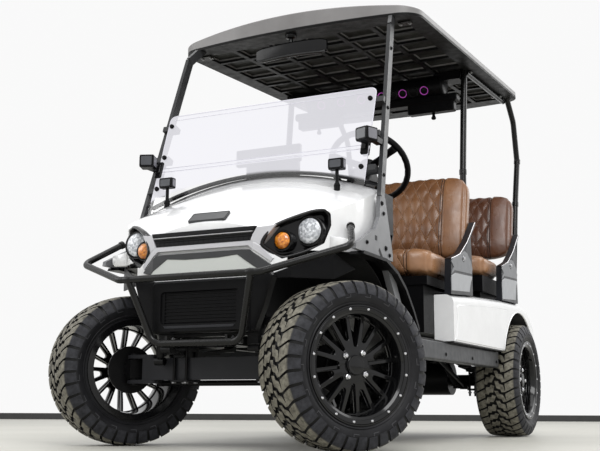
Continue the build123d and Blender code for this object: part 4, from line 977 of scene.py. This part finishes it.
# slats: low edge, high edge, half width, depth, material
for low, high, wide, deep, mat in ((0.7665, 0.7815, 0.219, 0.0125, 0), (0.7605, 0.7640, 0.2115, 0.0155, 1),
                                   (0.7545, 0.7585, 0.208, 0.010, 0), (0.7465, 0.7500, 0.205, 0.007, 0),
                                   (0.7305, 0.7345, 0.2005, 0.012, 0)):
    grille.prism(mirrored([(wide, high), (wide - 0.004, low)]), 0.0, deep, 0.0012, mat, front)
for k in range(-9, 10):
    x = k * 0.021
    grille.prism(rect(x - 0.0014, x + 0.0014, 0.7355, 0.7535), 0.0, 0.0055, 0.0, 0, front)
grille.make("grille_slats", [GLOSS, SILVER], "black_gloss", "grille")


def round_lamp(name, place, r, length, glass, bulge, slot, node):
    p = Piece()
    p.lathe([(-length, 0), (-length, r * 0.94), (-0.010, r * 0.985), (-0.002, r), (0.0015, r * 0.985),
             (0.0020, r * 0.93), (-0.001, r * 0.89)], 48)
    turns = [math.pi * k / 16 for k in range(8)]
    dome = [(-0.001 + bulge * math.sin(a), r * 0.91 * math.cos(a)) for a in turns]
    p.lathe(dome + [(-0.001 + bulge, 0)], 48, 1)
    p.make(name, [GLOSS, glass], slot, node, at=place, smooth=30)


HEAD, BLINK = (0.374, -0.076, 0.770), (0.295, -0.133, 0.732)   # centres of the lamps: across, station, up
BEZEL = mm(-128, -55, -89, -80, -48, -104, 41, -77, 105, -43, 131, 23, 129, 65, 110, 83, 67, 78, -12, 49, -74, 20,
           -105, -13)
# outwards from the outline, off the face
BEZEL_RINGS = mm(0, -28, 2.5, -10, 3, -1, 1, 2.5, -4, 3.5, -8.5, 1, -11.5, -9, -14, -21, -17, -25.5)
BEZEL_TURN = math.radians(38)
for side, label in NAMED_SIDES:
    head, blink = (at(side * x, y, z) @ AHEAD for x, y, z in (HEAD, BLINK))
    round_lamp("headlamp_" + label, head, 0.0510, 0.070, LENS, 0.0125, "lamp_glass", "headlamps")
    round_lamp("turn_lamp_" + label, blink, 0.0335, 0.055, AMBER, 0.0165, "amber_glass", "turn_lamps")
    c, s = math.cos(BEZEL_TURN), math.sin(BEZEL_TURN)
    facing = frame_at(P(side * 0.335, -0.112, 0.768), (c, side * s, 0), (side * s, -c, 0))
    outline = [(p.x, p.y) for p in rounded([(side * u, v, 0) for u, v in BEZEL], 0.030, 5, closed=True)]
    rings = [[(x, y, h) for x, y in inset(outline, -d)] for d, h in BEZEL_RINGS]
    bezel = Piece().loft(rings, 0, facing, first=False)
    bezel.make("bezel_" + label, [GLOSS], "black_plastic", "lamp_bezels", smooth=50)
    collar = Piece()
    for place, r in ((head, 0.0520), (blink, 0.0350)):
        lip = mm(-40, 0, -40, 4, -1.5, 4, 1, 2.5, 1, 1, 0, -1)
        collar.lathe([(x, r + out) for x, out in lip], 48, 0, place, closed=True)
    collar.make("lamp_collars_" + label, [GLOSS])

# blank badge with a raised rim
badge = Piece()
slope = math.atan2(0.060, 0.068)
plate = frame_at(P(0, -0.1505, 0.8385), (1, 0, 0), (0, -math.sin(slope), math.cos(slope)))
outline = round_rect(0.160, 0.058, 0.008)
badge.prism(outline, -0.006, 0.0035, 0.0012, 0, plate)
badge.tube([(x, y, 0.0035) for x, y in inset(outline, 0.003)], 0.0012, 6, 1, plate, closed=True)
badge.make("badge_plate", [CHARCOAL, GLOSS], "black_gloss", "badge")

# the bumper below the nose: a moulded frame round a mesh panel
bumper = Piece()
front = at(0, -0.196, 0) @ FACE_FRONT
outer, hole = round_rect(0.410, 0.188, 0.016, 4, 0, 0.505), round_rect(0.330, 0.118, 0.014, 4, 0, 0.502)
sections = ((outer, 0, 0.004), (outer, 0.006, 0.0115), (hole, 0, 0.0105), (hole, 0.005, -0.004))
rings = [[(x, y, h) for x, y in inset(line, d)] for line, d, h in sections]
bumper.loft(rings, 0, front, first=False, last=False)
bumper.prism(inset(hole, 0.003), -0.005, -0.002, 0, 0, front)
for k in range(9):
    low = 0.448 + k * 0.0125
    bumper.prism(rect(-0.160, 0.160, low, low + 0.0065), -0.004, 0.0030, 0.0015, 0, front)
bumper.prism(mirrored(mm(150, 436.5, 142, 426.5)), 0.006, 0.0135, 0.0015, 1, front)
# a lighter grey rim along the frame's top edge: painted highlight
bumper.tube([front @ Vector((x, 0.5985, 0.0045)) for x in (-0.196, 0.196)], 0.0028, 8, 1)
for wing in both_sides(mm(200, 412, 222, 412, 258, 500, 290, 602, 272, 622, 200, 602)):
    bumper.prism(wing, -0.040, 0.0020, 0.004, 0, front)
bumper.make("bumper_face", [BLACK, MATS["axle_grey"]])

# pale edges of the fenders under the lamps, and the guard's bolts, caps and weld beads
guard = Piece()
for side, label in NAMED_SIDES:
    lip = Piece()
    line = [P(side * 0.232, -0.172, 0.601), P(side * 0.262, -0.166, 0.602), P(side * 0.318, -0.144, 0.608)]
    lip.tube(rounded(line, 0.03, 4), [0.002] + [0.0042] * 6, 8)
    corner = [(side * x, z) for x, z in mm(440, 694, 500, 696, 512, 706, 514, 738, 440, 752)]
    lip.prism(corner, -0.006, 0.006, 0.003, 0, at(0, -0.040, 0) @ FACE_FRONT)
    lip.make("fender_lip_" + label, [WHITE], "white_paint", smooth=60)
    end = P(side * 0.500, 0.005, 0.792)
    run = (end - P(side * 0.570, -0.148, 0.695)).normalized()
    for cap in (mm(-12, 14, 0, 14, 3, 11.5, 4.2, 0), mm(-12, 15.5, 0, 15.5, 3, 13, 4.2, 0)):
        guard.lathe(cap, 20, 0, frame_at(end, run, run.orthogonal()))
    for x, facing in ((0.120, -side), (0.130, side)):
        for y in (-0.135, -0.185):
            guard.bolt(P(side * x, y, 0.388), (facing, 0, 0), 0.007, 0.005, 1)
    guard.lathe(mm(-16, 12.8, -10, 14, 0, 14.6, 10, 14, 16, 12.8), 20, 0, at(side * 0.255, -0.287, 0.603))
guard.make("guard_fittings", [GUARD, ZINC], "guard_black")


# ---------------------------------------------------------------- seat brackets
BRACKET_UPPER = mm(892, 776, 934, 799, 1020, 822, 1100, 850, 1137, 845, 1193, 812, 1214, 782, 1203, 756, 940, 741,
                   892, 722, 908, 742, 928, 755, 908, 768)
BRACKET_LOWER = mm(890, 712, 945, 731, 1204, 745, 1196, 730, 1180, 716, 1160, 680, 1157, 668, 891, 648)
BRACKET_WEB = mm(1110, 856, 1140, 842, 1196, 812, 1204, 930, 1272, 992, 1252, 990, 1148, 890)
FLANGE = mm(897, 789.2, 960, 806.5, 1028, 826.8, 1085, 861, 1146, 899, 1215, 957.5, 1264, 1000, 1276, 1011.5,
            1281, 1006.5)
FACE = 0.5885   # x of the plates' inner side
for row, shift, row_rise, drop in (("front", 0.0, 0.0, 0.0), ("rear", 0.850, 0.075, 0.030)):
    for side, label in NAMED_SIDES:
        p = Piece()
        place = flank(side, FRONT_Y + shift, row_rise)
        foot = [(y, z - (drop if z < 0.70 else 0)) for y, z in BRACKET_LOWER]
        # the upper plate mid grey and the foot pale: painted reflection on the black coat
        p.prism(BRACKET_WEB, FACE, 0.5910, 0.0006, 0, place)
        p.prism(BRACKET_UPPER, FACE, 0.5925, 0.0010, 1, place)
        p.prism(foot, FACE, 0.5935, 0.0012, 2, place)
        # a dark strip along the crease between the upper plate and the foot: painted shadow
        p.prism(mm(890, 706, 890, 722, 1205, 756, 1205, 742), FACE, 0.5912, 0.0004, 0, place)
        # dark upper face of the flange, and beside it a bright steel edge that is a painted highlight
        strip = ((0, 0.5612), (0.0016, 0.5612), (0.0016, 0.5886), (0, 0.5886))
        rings = [[(y, z + rise, x) for rise, x in strip] for y, z in FLANGE]
        p.loft(rings, 0, place, first=False, last=False)
        p.tube([place @ Vector((y, z - 0.0005, 0.5898)) for y, z in FLANGE], 0.0020, 6, 3)
        # bolt in its hole, and two foot bolts
        hole = place @ Vector((1.073, 0.812, 0.592))
        p.lathe(mm(-2, 17, 1, 16.8, 1.6, 15, 0.6, 14, -2, 13.5), 24, 0, axle(hole, (side, 0, 0)))
        p.bolt(hole, (side, 0, 0), 0.0085, 0.0060, 3)
        for y in (0.925, 1.120):
            p.bolt(place @ Vector((y, 0.648 + (y - 0.893) * 0.075, 0.572)), (0, 0, 1), 0.0070, 0.0050, 3)
        p.make("bracket_" + row + "_" + label, [BRACKET_DARK, BRACKET_MID, BRACKET_PALE, CHROME], "grey_paint")

# ---------------------------------------------------------------- windshield
PANE_LEAN = math.radians(18.3)
FOLD_Z = 1.138
# local X across, Y up the pane
PANE = frame_at(P(0, 0.218, FOLD_Z), (1, 0, 0), (0, -math.cos(PANE_LEAN), math.sin(PANE_LEAN)))
PANE_HALF, PANE_TOP = 0.487, 0.281
edge = Piece()
corners = mirrored([(PANE_HALF, 0.10), (PANE_HALF, PANE_TOP)])
outline = [(x, y, 0) for x, y in reversed(corners)]
edge.tube(rounded(outline, 0.030, 6), 0.0024, 8, 0, PANE)
edge.tube([(x, PANE_TOP - 0.024, 0.003) for x in (0.024 - PANE_HALF, PANE_HALF - 0.024)], 0.0014, 8, 0, PANE)
for y in (0.0085, -0.0085):
    edge.tube([(-PANE_HALF, y, 0.0052), (PANE_HALF, y, 0.0052)], 0.0014, 6, 0, PANE)
for s in SIDES:
    edge.tube([(s * PANE_HALF, -0.005, 0), (s * PANE_HALF, -0.150, 0)], 0.0016, 6, 0, PANE)
edge.make("pane_edges", [paint("pane_edge", (0.60, 0.59, 0.66), 0.18, 0.02)], "clear_pane", smooth=40)

clips = Piece()
for side in SIDES:
    for z in (1.052, 1.200, 1.352):
        knob = PANE @ move((side * 0.468, (z - FOLD_Z) / math.cos(PANE_LEAN), 0)) @ X_TO_Z
        clips.lathe(mm(3.2, 9.8, 6, 10.4, 12, 9.6, 15, 8, 16, 5, 16.2, 0), 18, 0, knob)
        clips.lathe(mm(-3.2, 9.8, -8, 9.8, -9.5, 8, -9.8, 0), 18, 0, knob)
    # latch at the fold
    latch = PANE @ move((side * 0.4745, 0, 0))
    clips.prism(round_rect(0.030, 0.076, 0.006), 0.0055, 0.0190, 0.003, 0, latch)
    clips.prism(round_rect(0.018, 0.040, 0.005), 0.0190, 0.0235, 0.0015, 1, latch)
    clips.prism(round_rect(0.026, 0.066, 0.006), -0.0140, -0.0055, 0.002, 0, latch)
clips.make("pane_knobs", [BLACK, GLOSS], "black_plastic", "windshield_clips")

# ---------------------------------------------------------------- crest trim, seams and pods
crest = Piece()
CREST_TOP, CREST_DROP, CREST_HALF = 1.075, 0.098, 0.528
CREST_R = (CREST_HALF ** 2 + CREST_DROP ** 2) / (2 * CREST_DROP)
CREST_SECTION = mm(229, 1, 230, 8, 237, 15, 247, 15, 251.5, 10.5, 251.5, 1)   # station, rise above the arc
half_angle = math.asin(0.526 / CREST_R)
rings = []
for k in range(49):
    a = half_angle * (k / 24 - 1)
    rings.append([P(math.sin(a) * (CREST_R + rise), y, CREST_TOP - CREST_R + math.cos(a) * (CREST_R + rise))
                  for y, rise in CREST_SECTION])
crest.loft(rings)
for s in SIDES:
    crest.tube([P(s * 0.5285, 0.2515, 0.972), P(s * 0.5285, 0.2515, 0.705)], 0.0042, 8)
crest.make("crest_trim", [GLOSS], "black_gloss", smooth=32)

pods = Piece()
# place, width, depth, height, turn
PODS = (((0.502, 0.160, 1.170), 0.061, 0.061, 0.054, -22), ((0.386, 0.141, 1.062), 0.062, 0.034, 0.044, 0))
for side in SIDES:
    for (x, y, z), w, d, h, degrees in PODS:
        pod = at(side * x, y, z) @ Matrix.Rotation(math.radians(side * degrees), 4, "Z")
        front = pod @ move((0, -d / 2, 0)) @ FACE_FRONT
        pods.prism(round_rect(w - 0.003, h - 0.003, 0.008), -0.001, 0.0028, 0.0012, 0, front)
        pods.prism(round_rect(w - 0.015, h - 0.015, 0.005), 0.0020, 0.0034, 0.0006, 1, front)
        for s in SIDES:
            cheek = round_rect(d - 0.016, h - 0.014, 0.005)
            pods.prism(cheek, -0.001, 0.0018, 0.0006, 2, pod @ flank(s, 0, 0, s * w / 2))
        for k in range(-2, 3):
            fin = pod @ move((k * w * 0.17, d / 2, 0)) @ FACE_FRONT
            pods.prism(rect(-0.0014, 0.0014, -h * 0.38, h * 0.38), -0.0045, 0.001, 0, 0, fin)
    pods.lathe(mm(0, 12.5, 4, 13.5, 10, 10.5, 16, 7.8), 20, 0, axle(P(side * 0.386, 0.141, 0.975), (0, 0, 1)))
pod_lens = plastic("pod_lens", (0.055, 0.058, 0.066), 0.12, 0.05)
pods.make("pod_fronts", [BLACK, pod_lens, plastic("pod_flank", (0.16, 0.16, 0.18), 0.4, 0.1)])

# ---------------------------------------------------------------- strut feet
feet = Piece()
for side in SIDES:
    face = flank(side)
    feet.prism(round_rect(0.020, 0.018, 0.002, 2, 0.129, 0.764), 0.5475, 0.5488, 0.0004, 0, face)
    feet.prism(round_rect(0.024, 0.022, 0.003, 2, 0.129, 0.764), 0.5475, 0.5482, 0.0002, 1, face)
    feet.prism(mm(163.5, 731.5, 206.5, 688.5, 195.5, 677.5, 152.5, 720.5), 0.5475, 0.5486, 0.0003, 0, face)
    for y, z, r in ((0.225, 0.738, 0.0075), (0.262, 0.716, 0.0060), (0.190, 0.905, 0.0070), (0.206, 0.868, 0.0060),
                    (0.040, 0.735, 0.0060)):
        feet.bolt(face @ Vector((y, z, 0.548)), (side, 0, 0), r)
    for t in (0.12, 0.50, 0.86):
        spot = P(side * 0.540, 0.200, 0.930).lerp(P(side * 0.494, 0.450, 1.710), t)
        feet.bolt(spot + Vector((side * 0.0085, 0, 0)), (side, 0, 0.06), 0.0060, 0.004)
feet.make("strut_bolts", [BLACK, BRACKET_MID], "grey_paint")

# ---------------------------------------------------------------- steering wheel
wheel = Piece()
WHEEL_R, GRIP_R, GRIP_DIP = 0.175, 0.0138, 0.0012   # every third ring dips on its inner side
rings = []
for k in range(96):
    a = TAU * k / 96
    ring = []
    for c, s in ngon(1.0, 14):
        r = GRIP_R - (GRIP_DIP if k % 3 == 0 and c < 0 else 0)
        ring.append(((WHEEL_R + r * c) * math.cos(a), (WHEEL_R + r * c) * math.sin(a), r * s))
    rings.append(ring)
wheel.loft(rings, closed=True)
spoke = mm(20, -20, 70, -15.5, 130, -15, 168, -17.5, 168, 17.5, 130, 15, 70, 15.5, 20, 20)
for degrees in (90, 210, 330):
    turned = Matrix.Rotation(math.radians(degrees), 4, "Z")
    wheel.prism(spoke, -0.0215, -0.0095, 0.003, 0, turned)
    for s in SIDES:
        inlay = [(x, s * y) for x, y in mm(48, 10.5, 150, 9.5, 150, 12.5, 48, 13.5)]
        wheel.prism(inlay, -0.0098, -0.0080, 0.0005, 1, turned)
wheel.lathe(mm(-49, 0, -49, 30, -40, 34, -20, 36, -10, 45, -4, 44, 0, 40, 2, 30, 3, 0), 40, 0, X_TO_Z)
wheel.lathe(mm(0.5, 38.5, 2.2, 37.5, 2.2, 35.5, 1.4, 34.5), 40, 1, X_TO_Z)
tilt = (0, math.cos(math.radians(45)), math.sin(math.radians(45)))
wheel.make("steering_wheel_rim", [BLACK, SILVER], "black_plastic", "steering_wheel", "steering_wheel",
           frame_at(P(0.270, 0.750, 1.200), (1, 0, 0), tilt), 50)

# ---------------------------------------------------------------- roof furniture
mirror = Piece()
MIRROR_HALF, BOW, SAG = 0.172, 0.010, 0.004
rings = []
for k in range(25):
    t = k / 12 - 1
    shrink = 1 - 0.22 * max(0.0, abs(t) - 0.86) / 0.14
    rings.append([P(t * MIRROR_HALF, 0.505 + y * shrink + BOW * t * t - 0.003, 1.707 + z * shrink - SAG * t * t)
                  for y, z in round_rect(0.026, 0.068, 0.011, 4)])
mirror.loft(rings)
tenths = [k / 10 for k in range(-10, 11)]
mirror.tube([P(t * 0.16684, 0.495 + BOW * t * t, 1.6795 - SAG * t * t) for t in tenths], 0.0055, 8, 1)
glass = [P(t * 0.155, 0.5195 + BOW * t * t, z) for t in tenths for z in (1.681, 1.733)]
mirror.add(glass, [[k, k + 1, k + 3, k + 2] for k in range(0, 40, 2)], 2)
mirror.tube([P(0, 0.505, 1.735), P(0, 0.507, 1.770)], 0.009)
mirror.lathe(mm(0, 10, 4, 22, 14, 26, 18, 26), 28, 0, axle(P(0, 0.506, 1.757), (0, 0, 1)))
for s in SIDES:
    end = frame_at(P(s * 0.168, 0.512, 1.703), (0, 1, 0), (s, 0, 0))
    mirror.prism(round_rect(0.020, 0.046, 0.006), -0.004, 0.006, 0.002, 0, end)
mirror.make("mirror_shell", [GLOSS, CHARCOAL, CHROME], "black_gloss", "cabin_mirror", smooth=40)

BAR_Y, BAR_Z = 1.500, 1.784
BAR_FACE = Vector((0, -0.88, -0.47))
GLOW = Mat("speaker_ring", (0.35, 0.05, 0.30), 0.3, Emission_Strength=0.5, Emission_Color=(0.40, 0.06, 0.42, 1))
GLOW.set("Base Color", GLOW.cloud((40, 3), (0.22, 0.03, 0.22), (0.50, 0.10, 0.45)))
speakers = Piece()
for k in range(-5, 6):
    cone = axle(P(k * 0.0585, BAR_Y, BAR_Z) + BAR_FACE.normalized() * 0.0545, BAR_FACE)
    speakers.lathe(mm(-4, 26.5, 3.5, 26.8, 4.5, 25, 3.5, 22.5, -1, 21.5), 32, 0, cone)
    speakers.lathe(mm(3, 22.8, 4.2, 21.8, 4.2, 19.6, 2, 18.6), 32, abs(k) % 2, cone)
    speakers.lathe(mm(0, 19, -3, 12, -1, 7.5, 1.2, 4.5, 1.6, 0), 32, 2, cone)
box = at(0, BAR_Y - 0.005, 0) @ FACE_FRONT
speakers.prism(round_rect(0.920, 0.040, 0.012, 4, 0, 1.712), -0.030, 0.030, 0.005, 0, box)
for s in SIDES:
    cap = mm(-30, 59, 0, 60.5, 10, 60, 16, 54, 18.5, 45, 16.5, 40, 19, 30, 20, 0)
    speakers.lathe(cap, 48, 0, axle(P(s * 0.372, BAR_Y, BAR_Z), (s, 0, 0)))
    for x in (0.05, 0.20, 0.33):
        speakers.lathe(mm(-4, 57, -3, 59.2, 3, 59.2, 4, 57), 48, 0, axle(P(s * x, BAR_Y, BAR_Z), (1, 0, 0)))
    speakers.prism(round_rect(0.250, 0.058, 0.010, 4, s * 0.318, 1.672), -0.024, 0.026, 0.005, 0, box)
    knob = mm(0, 7, 18, 8, 24, 12, 32, 12, 36, 8, 37, 0)
    speakers.lathe(knob, 20, 0, axle(P(s * 0.327, BAR_Y - 0.005, 1.646), (0, 0, -1)))
speakers.make("sound_bar_speakers", [BLACK, GLOW.mat, GLOSS])

# clamps on the roof posts, and the posts' bolted plates under the roof
clamps = Piece()
MIDDLE_POST, REAR_POST = (0.494, (0, 0.03, 1)), (0.530, (0, 0.28, 1))   # x and direction
for side in SIDES:
    for (x, direction), y, z in ((MIDDLE_POST, 1.420, 0.800), (MIDDLE_POST, 1.430, 1.300),
                                 (REAR_POST, 2.330, 1.300), (REAR_POST, 2.410, 1.570)):
        clamps.lathe(mm(-14, 16.2, -12, 18.5, 12, 18.5, 14, 16.2), 24, 0, axle(P(side * x, y, z), direction))
    for y in (0.61, 1.52, 2.10):
        base = P(side * 0.500, y, ROOF_LOW + (y - ROOF_START) * ROOF_SLOPE - 0.004)
        clamps.prism(round_rect(0.060, 0.044, 0.008), -0.003, 0.004, 0.001, 0, move(base))
        for s in SIDES:
            clamps.bolt(base + Vector((s * 0.021, 0, -0.003)), (0, 0, -1), 0.006, 0.004, 1)
clamps.make("roof_clamps", [GUARD, ZINC], "guard_black")


# ---------------------------------------------------------------- running gear
gear = Piece()


def eye(place, r_bore, r, length=0.020):
    ring = [(-length, r_bore), (-length, r), (length, r), (length, r_bore)]
    gear.lathe(ring, 16, 0, axle(place, (1, 0, 0)), closed=True)


def damper(low, high, r):
    """Closed damper between two eyes."""
    run = high - low
    top = run.length
    body = [(0.0, 0), (0.0, 0.010), (0.012, 0.012), (0.018, r * 0.8), (0.022, r), (top * 0.52, r),
            (top * 0.53, 0.009), (top - 0.030, 0.008), (top - 0.026, r * 0.95), (top - 0.014, r * 0.9),
            (top - 0.010, 0.010), (top, 0.009), (top, 0)]
    gear.lathe(body, 20, 0, frame_at(low, run, run.orthogonal()))
    for end in (low, high):
        eye(end, 0.007, 0.015)


def u_bolt(x, y, top, bottom, r, nut_z, nut_r):
    gear.tube([P(x, y, top), P(x, y, bottom)], r, 8)
    gear.prism(ngon(nut_r, 6), 0, nut_r - 0.001, 0.001, 1, at(x, y, nut_z))


for side in SIDES:
    # front: dampers from the beam to the frame, U-bolts over the beam
    damper(P(side * 0.262, -0.055, 0.318), P(side * 0.226, -0.105, 0.452), 0.017)
    for y in (-0.034, 0.034):
        for x in (0.158, 0.212):
            u_bolt(side * x, y, 0.366, 0.236, 0.0055, 0.236, 0.009)
    gear.prism(round_rect(0.082, 0.092, 0.008), 0.2415, 0.2495, 0.001, 0, at(side * 0.185, 0, 0))
    # rear: U-bolts hanging below the axle tube, damper and diagonal link
    for y in (1.990, 2.090):
        for x in (0.333, 0.387):
            u_bolt(side * x, y, 0.362, 0.208, 0.0060, 0.222, 0.010)
    gear.prism(round_rect(0.080, 0.124, 0.010), 0.238, 0.248, 0.001, 0, at(side * 0.36, WHEELBASE, 0))
    damper(P(side * 0.272, 1.965, 0.262), P(side * 0.232, 1.760, 0.450), 0.020)
    link = [P(side * 0.300, 2.000, 0.262), P(side * 0.300, 1.560, 0.392)]
    gear.tube(link, 0.0110)
    for end in link:
        eye(end, 0.008, 0.018, 0.022)
gear.make("suspension_details", [MATS["chassis_black"], ZINC], "chassis_black")

# ---------------------------------------------------------------- body panels
SHOULDER = mm(885, 632, 1250, 660, 1750, 688, 2100, 700, 2240, 684)
STRIP_SECTION = mm(514, 0.8, 514, 5, 548, 5, 559.5, 0.6)   # across, rise above the shoulder


def wheel_arc(r, degrees):
    return WHEELBASE + r * math.cos(math.radians(degrees)), AXLE_Z + r * math.sin(math.radians(degrees))


for side, label in NAMED_SIDES:
    face = flank(side)
    skin = Piece()
    outline = mm(900, 434.5, 925, 470, 934, 530, 932, 578)
    outline += [(y, along(SHOULDER, y) - 0.046) for y in (0.945, 1.10, 1.25, 1.50, 1.75)]
    arch = [wheel_arc(0.366, a) for a in range(98, 159, 6)]
    outline += [(y, z) for y, z in arch if z < along(SHOULDER, y) - 0.05]
    skin.prism(outline + [(1.695, 0.4345)], 0.5990, 0.6030, 0.0028, 0, face)
    skin.make("rear_skin_" + label, [WHITE], "white_paint", smooth=40)
    lip = Piece()
    lip.tube([face @ Vector((*wheel_arc(0.3565, a), 0.5985)) for a in range(24, 157, 4)], 0.0048, 8)
    lip.make("arch_lip_" + label, [WHITE], "white_paint", smooth=60)
    # dark strip between the body and the step, and the step's own edges, ribs and bolts
    trim = Piece()
    trim.prism(rect(0.890, 1.690, 0.4245, 0.4335), 0.520, 0.5965, 0.001, 0, face)
    trim.prism(rect(0.4520, 1.6980, 0.4235, 0.4265), 0.5150, 0.5695, 0.0008, 0, face)
    for k in range(24):
        y = 0.50 + k * 0.016
        trim.prism(rect(y, y + 0.006, 0.4262, 0.4282), 0.520, 0.566, 0.0004, 0, face)
    for y in (0.47, 0.86, 1.25, 1.66):
        trim.bolt(face @ Vector((y, 0.372, 0.570)), (side, 0, 0), 0.0065, 0.004, 1)
    trim.make("step_trim_" + label, [RUBBER, GUARD])
    top = Piece()
    stations = (0.890, 1.000, 1.120, 1.250, 1.400, 1.550, 1.640)
    rings = [[P(side * x, y, along(SHOULDER, y) + rise) for x, rise in STRIP_SECTION] for y in stations]
    faces = [[4 * k + j, 4 * k + j + 1, 4 * k + 5 + j, 4 * k + 4 + j] for k in range(6) for j in range(3)]
    top.add([p for ring in rings for p in ring], faces + [[0, 1, 2, 3], [24, 25, 26, 27]])
    top.make("shoulder_strip_" + label, [RUBBER])

# ---------------------------------------------------------------- cabin
cabin = Piece()
# ribs of the two floor mats
for k in range(13):
    x = -0.42 + k * 0.07
    for y0, y1 in ((0.500, 0.700), (1.275, 1.565)):
        cabin.prism(rect(x - 0.012, x + 0.012, FRONT_Y + y0, FRONT_Y + y1), 0.4682, 0.4712, 0.001)
# louvres on the seat base
for k in range(6):
    for x in (-0.24, 0.24):
        louvre = round_rect(0.240, 0.008, 0.003, 2, x, 0.505 + k * 0.020)
        cabin.prism(louvre, -0.001, 0.0040, 0.0010, 0, at(0, 0.7445, 0) @ FACE_FRONT)
# switches, vents and pockets on the dashboard
dash = at(0, 0.4205, 0) @ FACE_BACK
for x in (0.33, 0.06):
    pocket = [dash @ Vector((x + px, 0.89 + pz, 0.0)) for px, pz in round_rect(0.228, 0.088, 0.014)]
    cabin.tube(pocket, 0.0035, 6, closed=True)
for k in range(4):
    cabin.prism(round_rect(0.018, 0.030, 0.004, 3, -(0.13 + k * 0.028), 0.905), -0.001, 0.006, 0.0015, 1, dash)
cabin.lathe(mm(0, 15, 4, 15, 6, 12, 14, 10, 15, 0), 20, 1, axle(P(0.40, 0.4205, 0.90), (0, 1, 0)))
cabin.make("cabin_fittings", [BLACK, GLOSS])

screen = Piece()
face = at(0, 0.3205, 1.176) @ FACE_BACK
screen.prism(round_rect(0.286, 0.060, 0.006), -0.001, 0.0015, 0.0008, 0, face)
screen.prism(round_rect(0.262, 0.046, 0.004), 0.0012, 0.0022, 0.0003, 1, face)
for k in range(5):
    screen.prism(round_rect(0.014, 0.010, 0.003, 3, -0.08 + k * 0.04, -0.085), -0.0045, -0.0010, 0.0008, 1, face)
screen_glass = plastic("screen_glass", (0.02, 0.025, 0.035), 0.06, 0.02)
screen.make("display_face", [GLOSS, screen_glass], "black_gloss")

# black shells behind the backrests
for label, (station, low_z, height, quilt) in BACKS.items():
    back = leaning(station, low_z, height) @ move((0, 0.052, 0)) @ FACE_BACK
    p = Piece()
    p.prism(round_rect(1.030, height - 0.070, 0.055, 6), -0.004, 0.0120, 0.005, 0, back)
    seam = [(x, z, 0.0105) for x, z in round_rect(0.960, height - 0.130, 0.040, 6)]
    p.tube(seam, 0.0035, 8, 0, back, closed=True)
    for x in (-0.40, 0.40):
        for s in SIDES:
            place = back @ Vector((x, s * (height / 2 - 0.085), 0.0118))
            p.bolt(place, back.to_3x3() @ Vector((0, 0, 1)), 0.007, 0.004, 1)
    p.make("backrest_shell_" + label, [BLACK, ZINC])

# ---------------------------------------------------------------- tail
tail = Piece()
rear_face = at(0, WHEELBASE + 0.310, 0) @ FACE_BACK
for side in SIDES:
    x = -side * 0.495
    tail.prism(round_rect(0.132, 0.082, 0.014, 4, x, 0.510), 0.001, 0.0185, 0.002, 0, rear_face)
    tail.prism(round_rect(0.112, 0.062, 0.010, 4, x, 0.510), 0.0180, 0.0215, 0.001, 1, rear_face)
    tail.prism(round_rect(0.110, 0.012, 0.004, 3, x, 0.497), 0.0212, 0.0225, 0.0004, 2, rear_face)
    for x in (0.18, 0.38):
        tail.bolt(P(side * x, 2.3703, 0.425), (0, 1, 0), 0.009, 0.006, 3)
tail.make("tail_lamp_units", [GLOSS, RED, LENS, ZINC], "red_glass", "tail_lamps")
seam = Piece()
seam.tube([rear_face @ Vector((x, 0.600, -0.004)) for x in (-0.56, 0.56)], 0.0022, 6)
seam.prism(round_rect(0.300, 0.130, 0.012, 4, 0, 0.530), -0.002, 0.0015, 0.001, 1, rear_face)
loop = [rear_face @ Vector((x, z, 0.0012)) for x, z in round_rect(0.280, 0.110, 0.010, 4, 0, 0.530)]
seam.tube(loop, 0.0018, 6, closed=True)
seam.make("tail_panel", [RUBBER, WHITE], "white_paint")


# ---------------------------------------------------------------- stage
def plane(name, corners, material):
    mesh = bpy.data.meshes.new(name)
    mesh.from_pydata(corners, [], [(0, 1, 2, 3)])
    mesh.materials.append(material)
    linked(name, mesh)


ahead = Vector((-math.sin(yaw), math.cos(yaw), 0))
foot = Vector((CAM.x, CAM.y, 0))
floor = Mat("floor", (0.60, 0.60, 0.57), 0.5)
floor.set("Base Color", floor.cloud((0.6, 5, 0.6), (0.50, 0.495, 0.445), (0.60, 0.59, 0.54)))
near, far, aside, tall = foot - ahead * 9, foot + ahead * 10.2, across * 14, Vector((0, 0, 0.062))
plane("floor", [near - aside, near + aside, far + aside, far - aside], floor.mat)
baseboard = plastic("baseboard", (0.030, 0.030, 0.030), 0.5)
plane("baseboard", [far - aside, far + aside, far + aside + tall, far - aside + tall], baseboard)

# a white world: bright to the camera, in reflections and through glass, weaker as light
world = bpy.data.worlds.new("world")
bpy.context.scene.world = world
world.use_nodes = True
new, link = world.node_tree.nodes.new, world.node_tree.links.new
light = world.node_tree.nodes["Background"]
seen = new("ShaderNodeBackground")
for background, strength in ((light, 0.55), (seen, 0.95)):
    background.inputs["Color"].default_value = (1, 1, 1, 1)
    background.inputs["Strength"].default_value = strength
path = new("ShaderNodeLightPath")
bright = path.outputs["Is Camera Ray"]
for ray in ("Is Glossy Ray", "Is Transmission Ray"):
    either = new("ShaderNodeMath")
    either.operation = "MAXIMUM"
    link(bright, either.inputs[0])
    link(path.outputs[ray], either.inputs[1])
    bright = either.outputs[0]
mixer = new("ShaderNodeMixShader")
for number, output in enumerate((bright, light.outputs[0], seen.outputs[0])):
    link(output, mixer.inputs[number])
link(mixer.outputs[0], world.node_tree.nodes["World Output"].inputs["Surface"])


def area(name, place, aim, size, power):
    data = bpy.data.lights.new(name, "AREA")
    data.shape = "RECTANGLE"
    data.size, data.size_y = size
    data.energy = power
    obj = linked(name, data)
    obj.location = place
    obj.rotation_euler = (Vector(aim) - Vector(place)).to_track_quat("-Z", "Y").to_euler()


area("key", (3.2, -4.6, 4.6), (0, 0, 0.7), (4, 3), 260)
area("fill", (-4.5, -3.5, 3.2), (0, 0, 0.8), (4, 3), 90)
area("top", (0, 0, 5.5), (0, 0, 0), (6, 5), 150)
area("rear", (3.5, 4.0, 3.5), (0, 0, 0.8), (4, 3), 90)
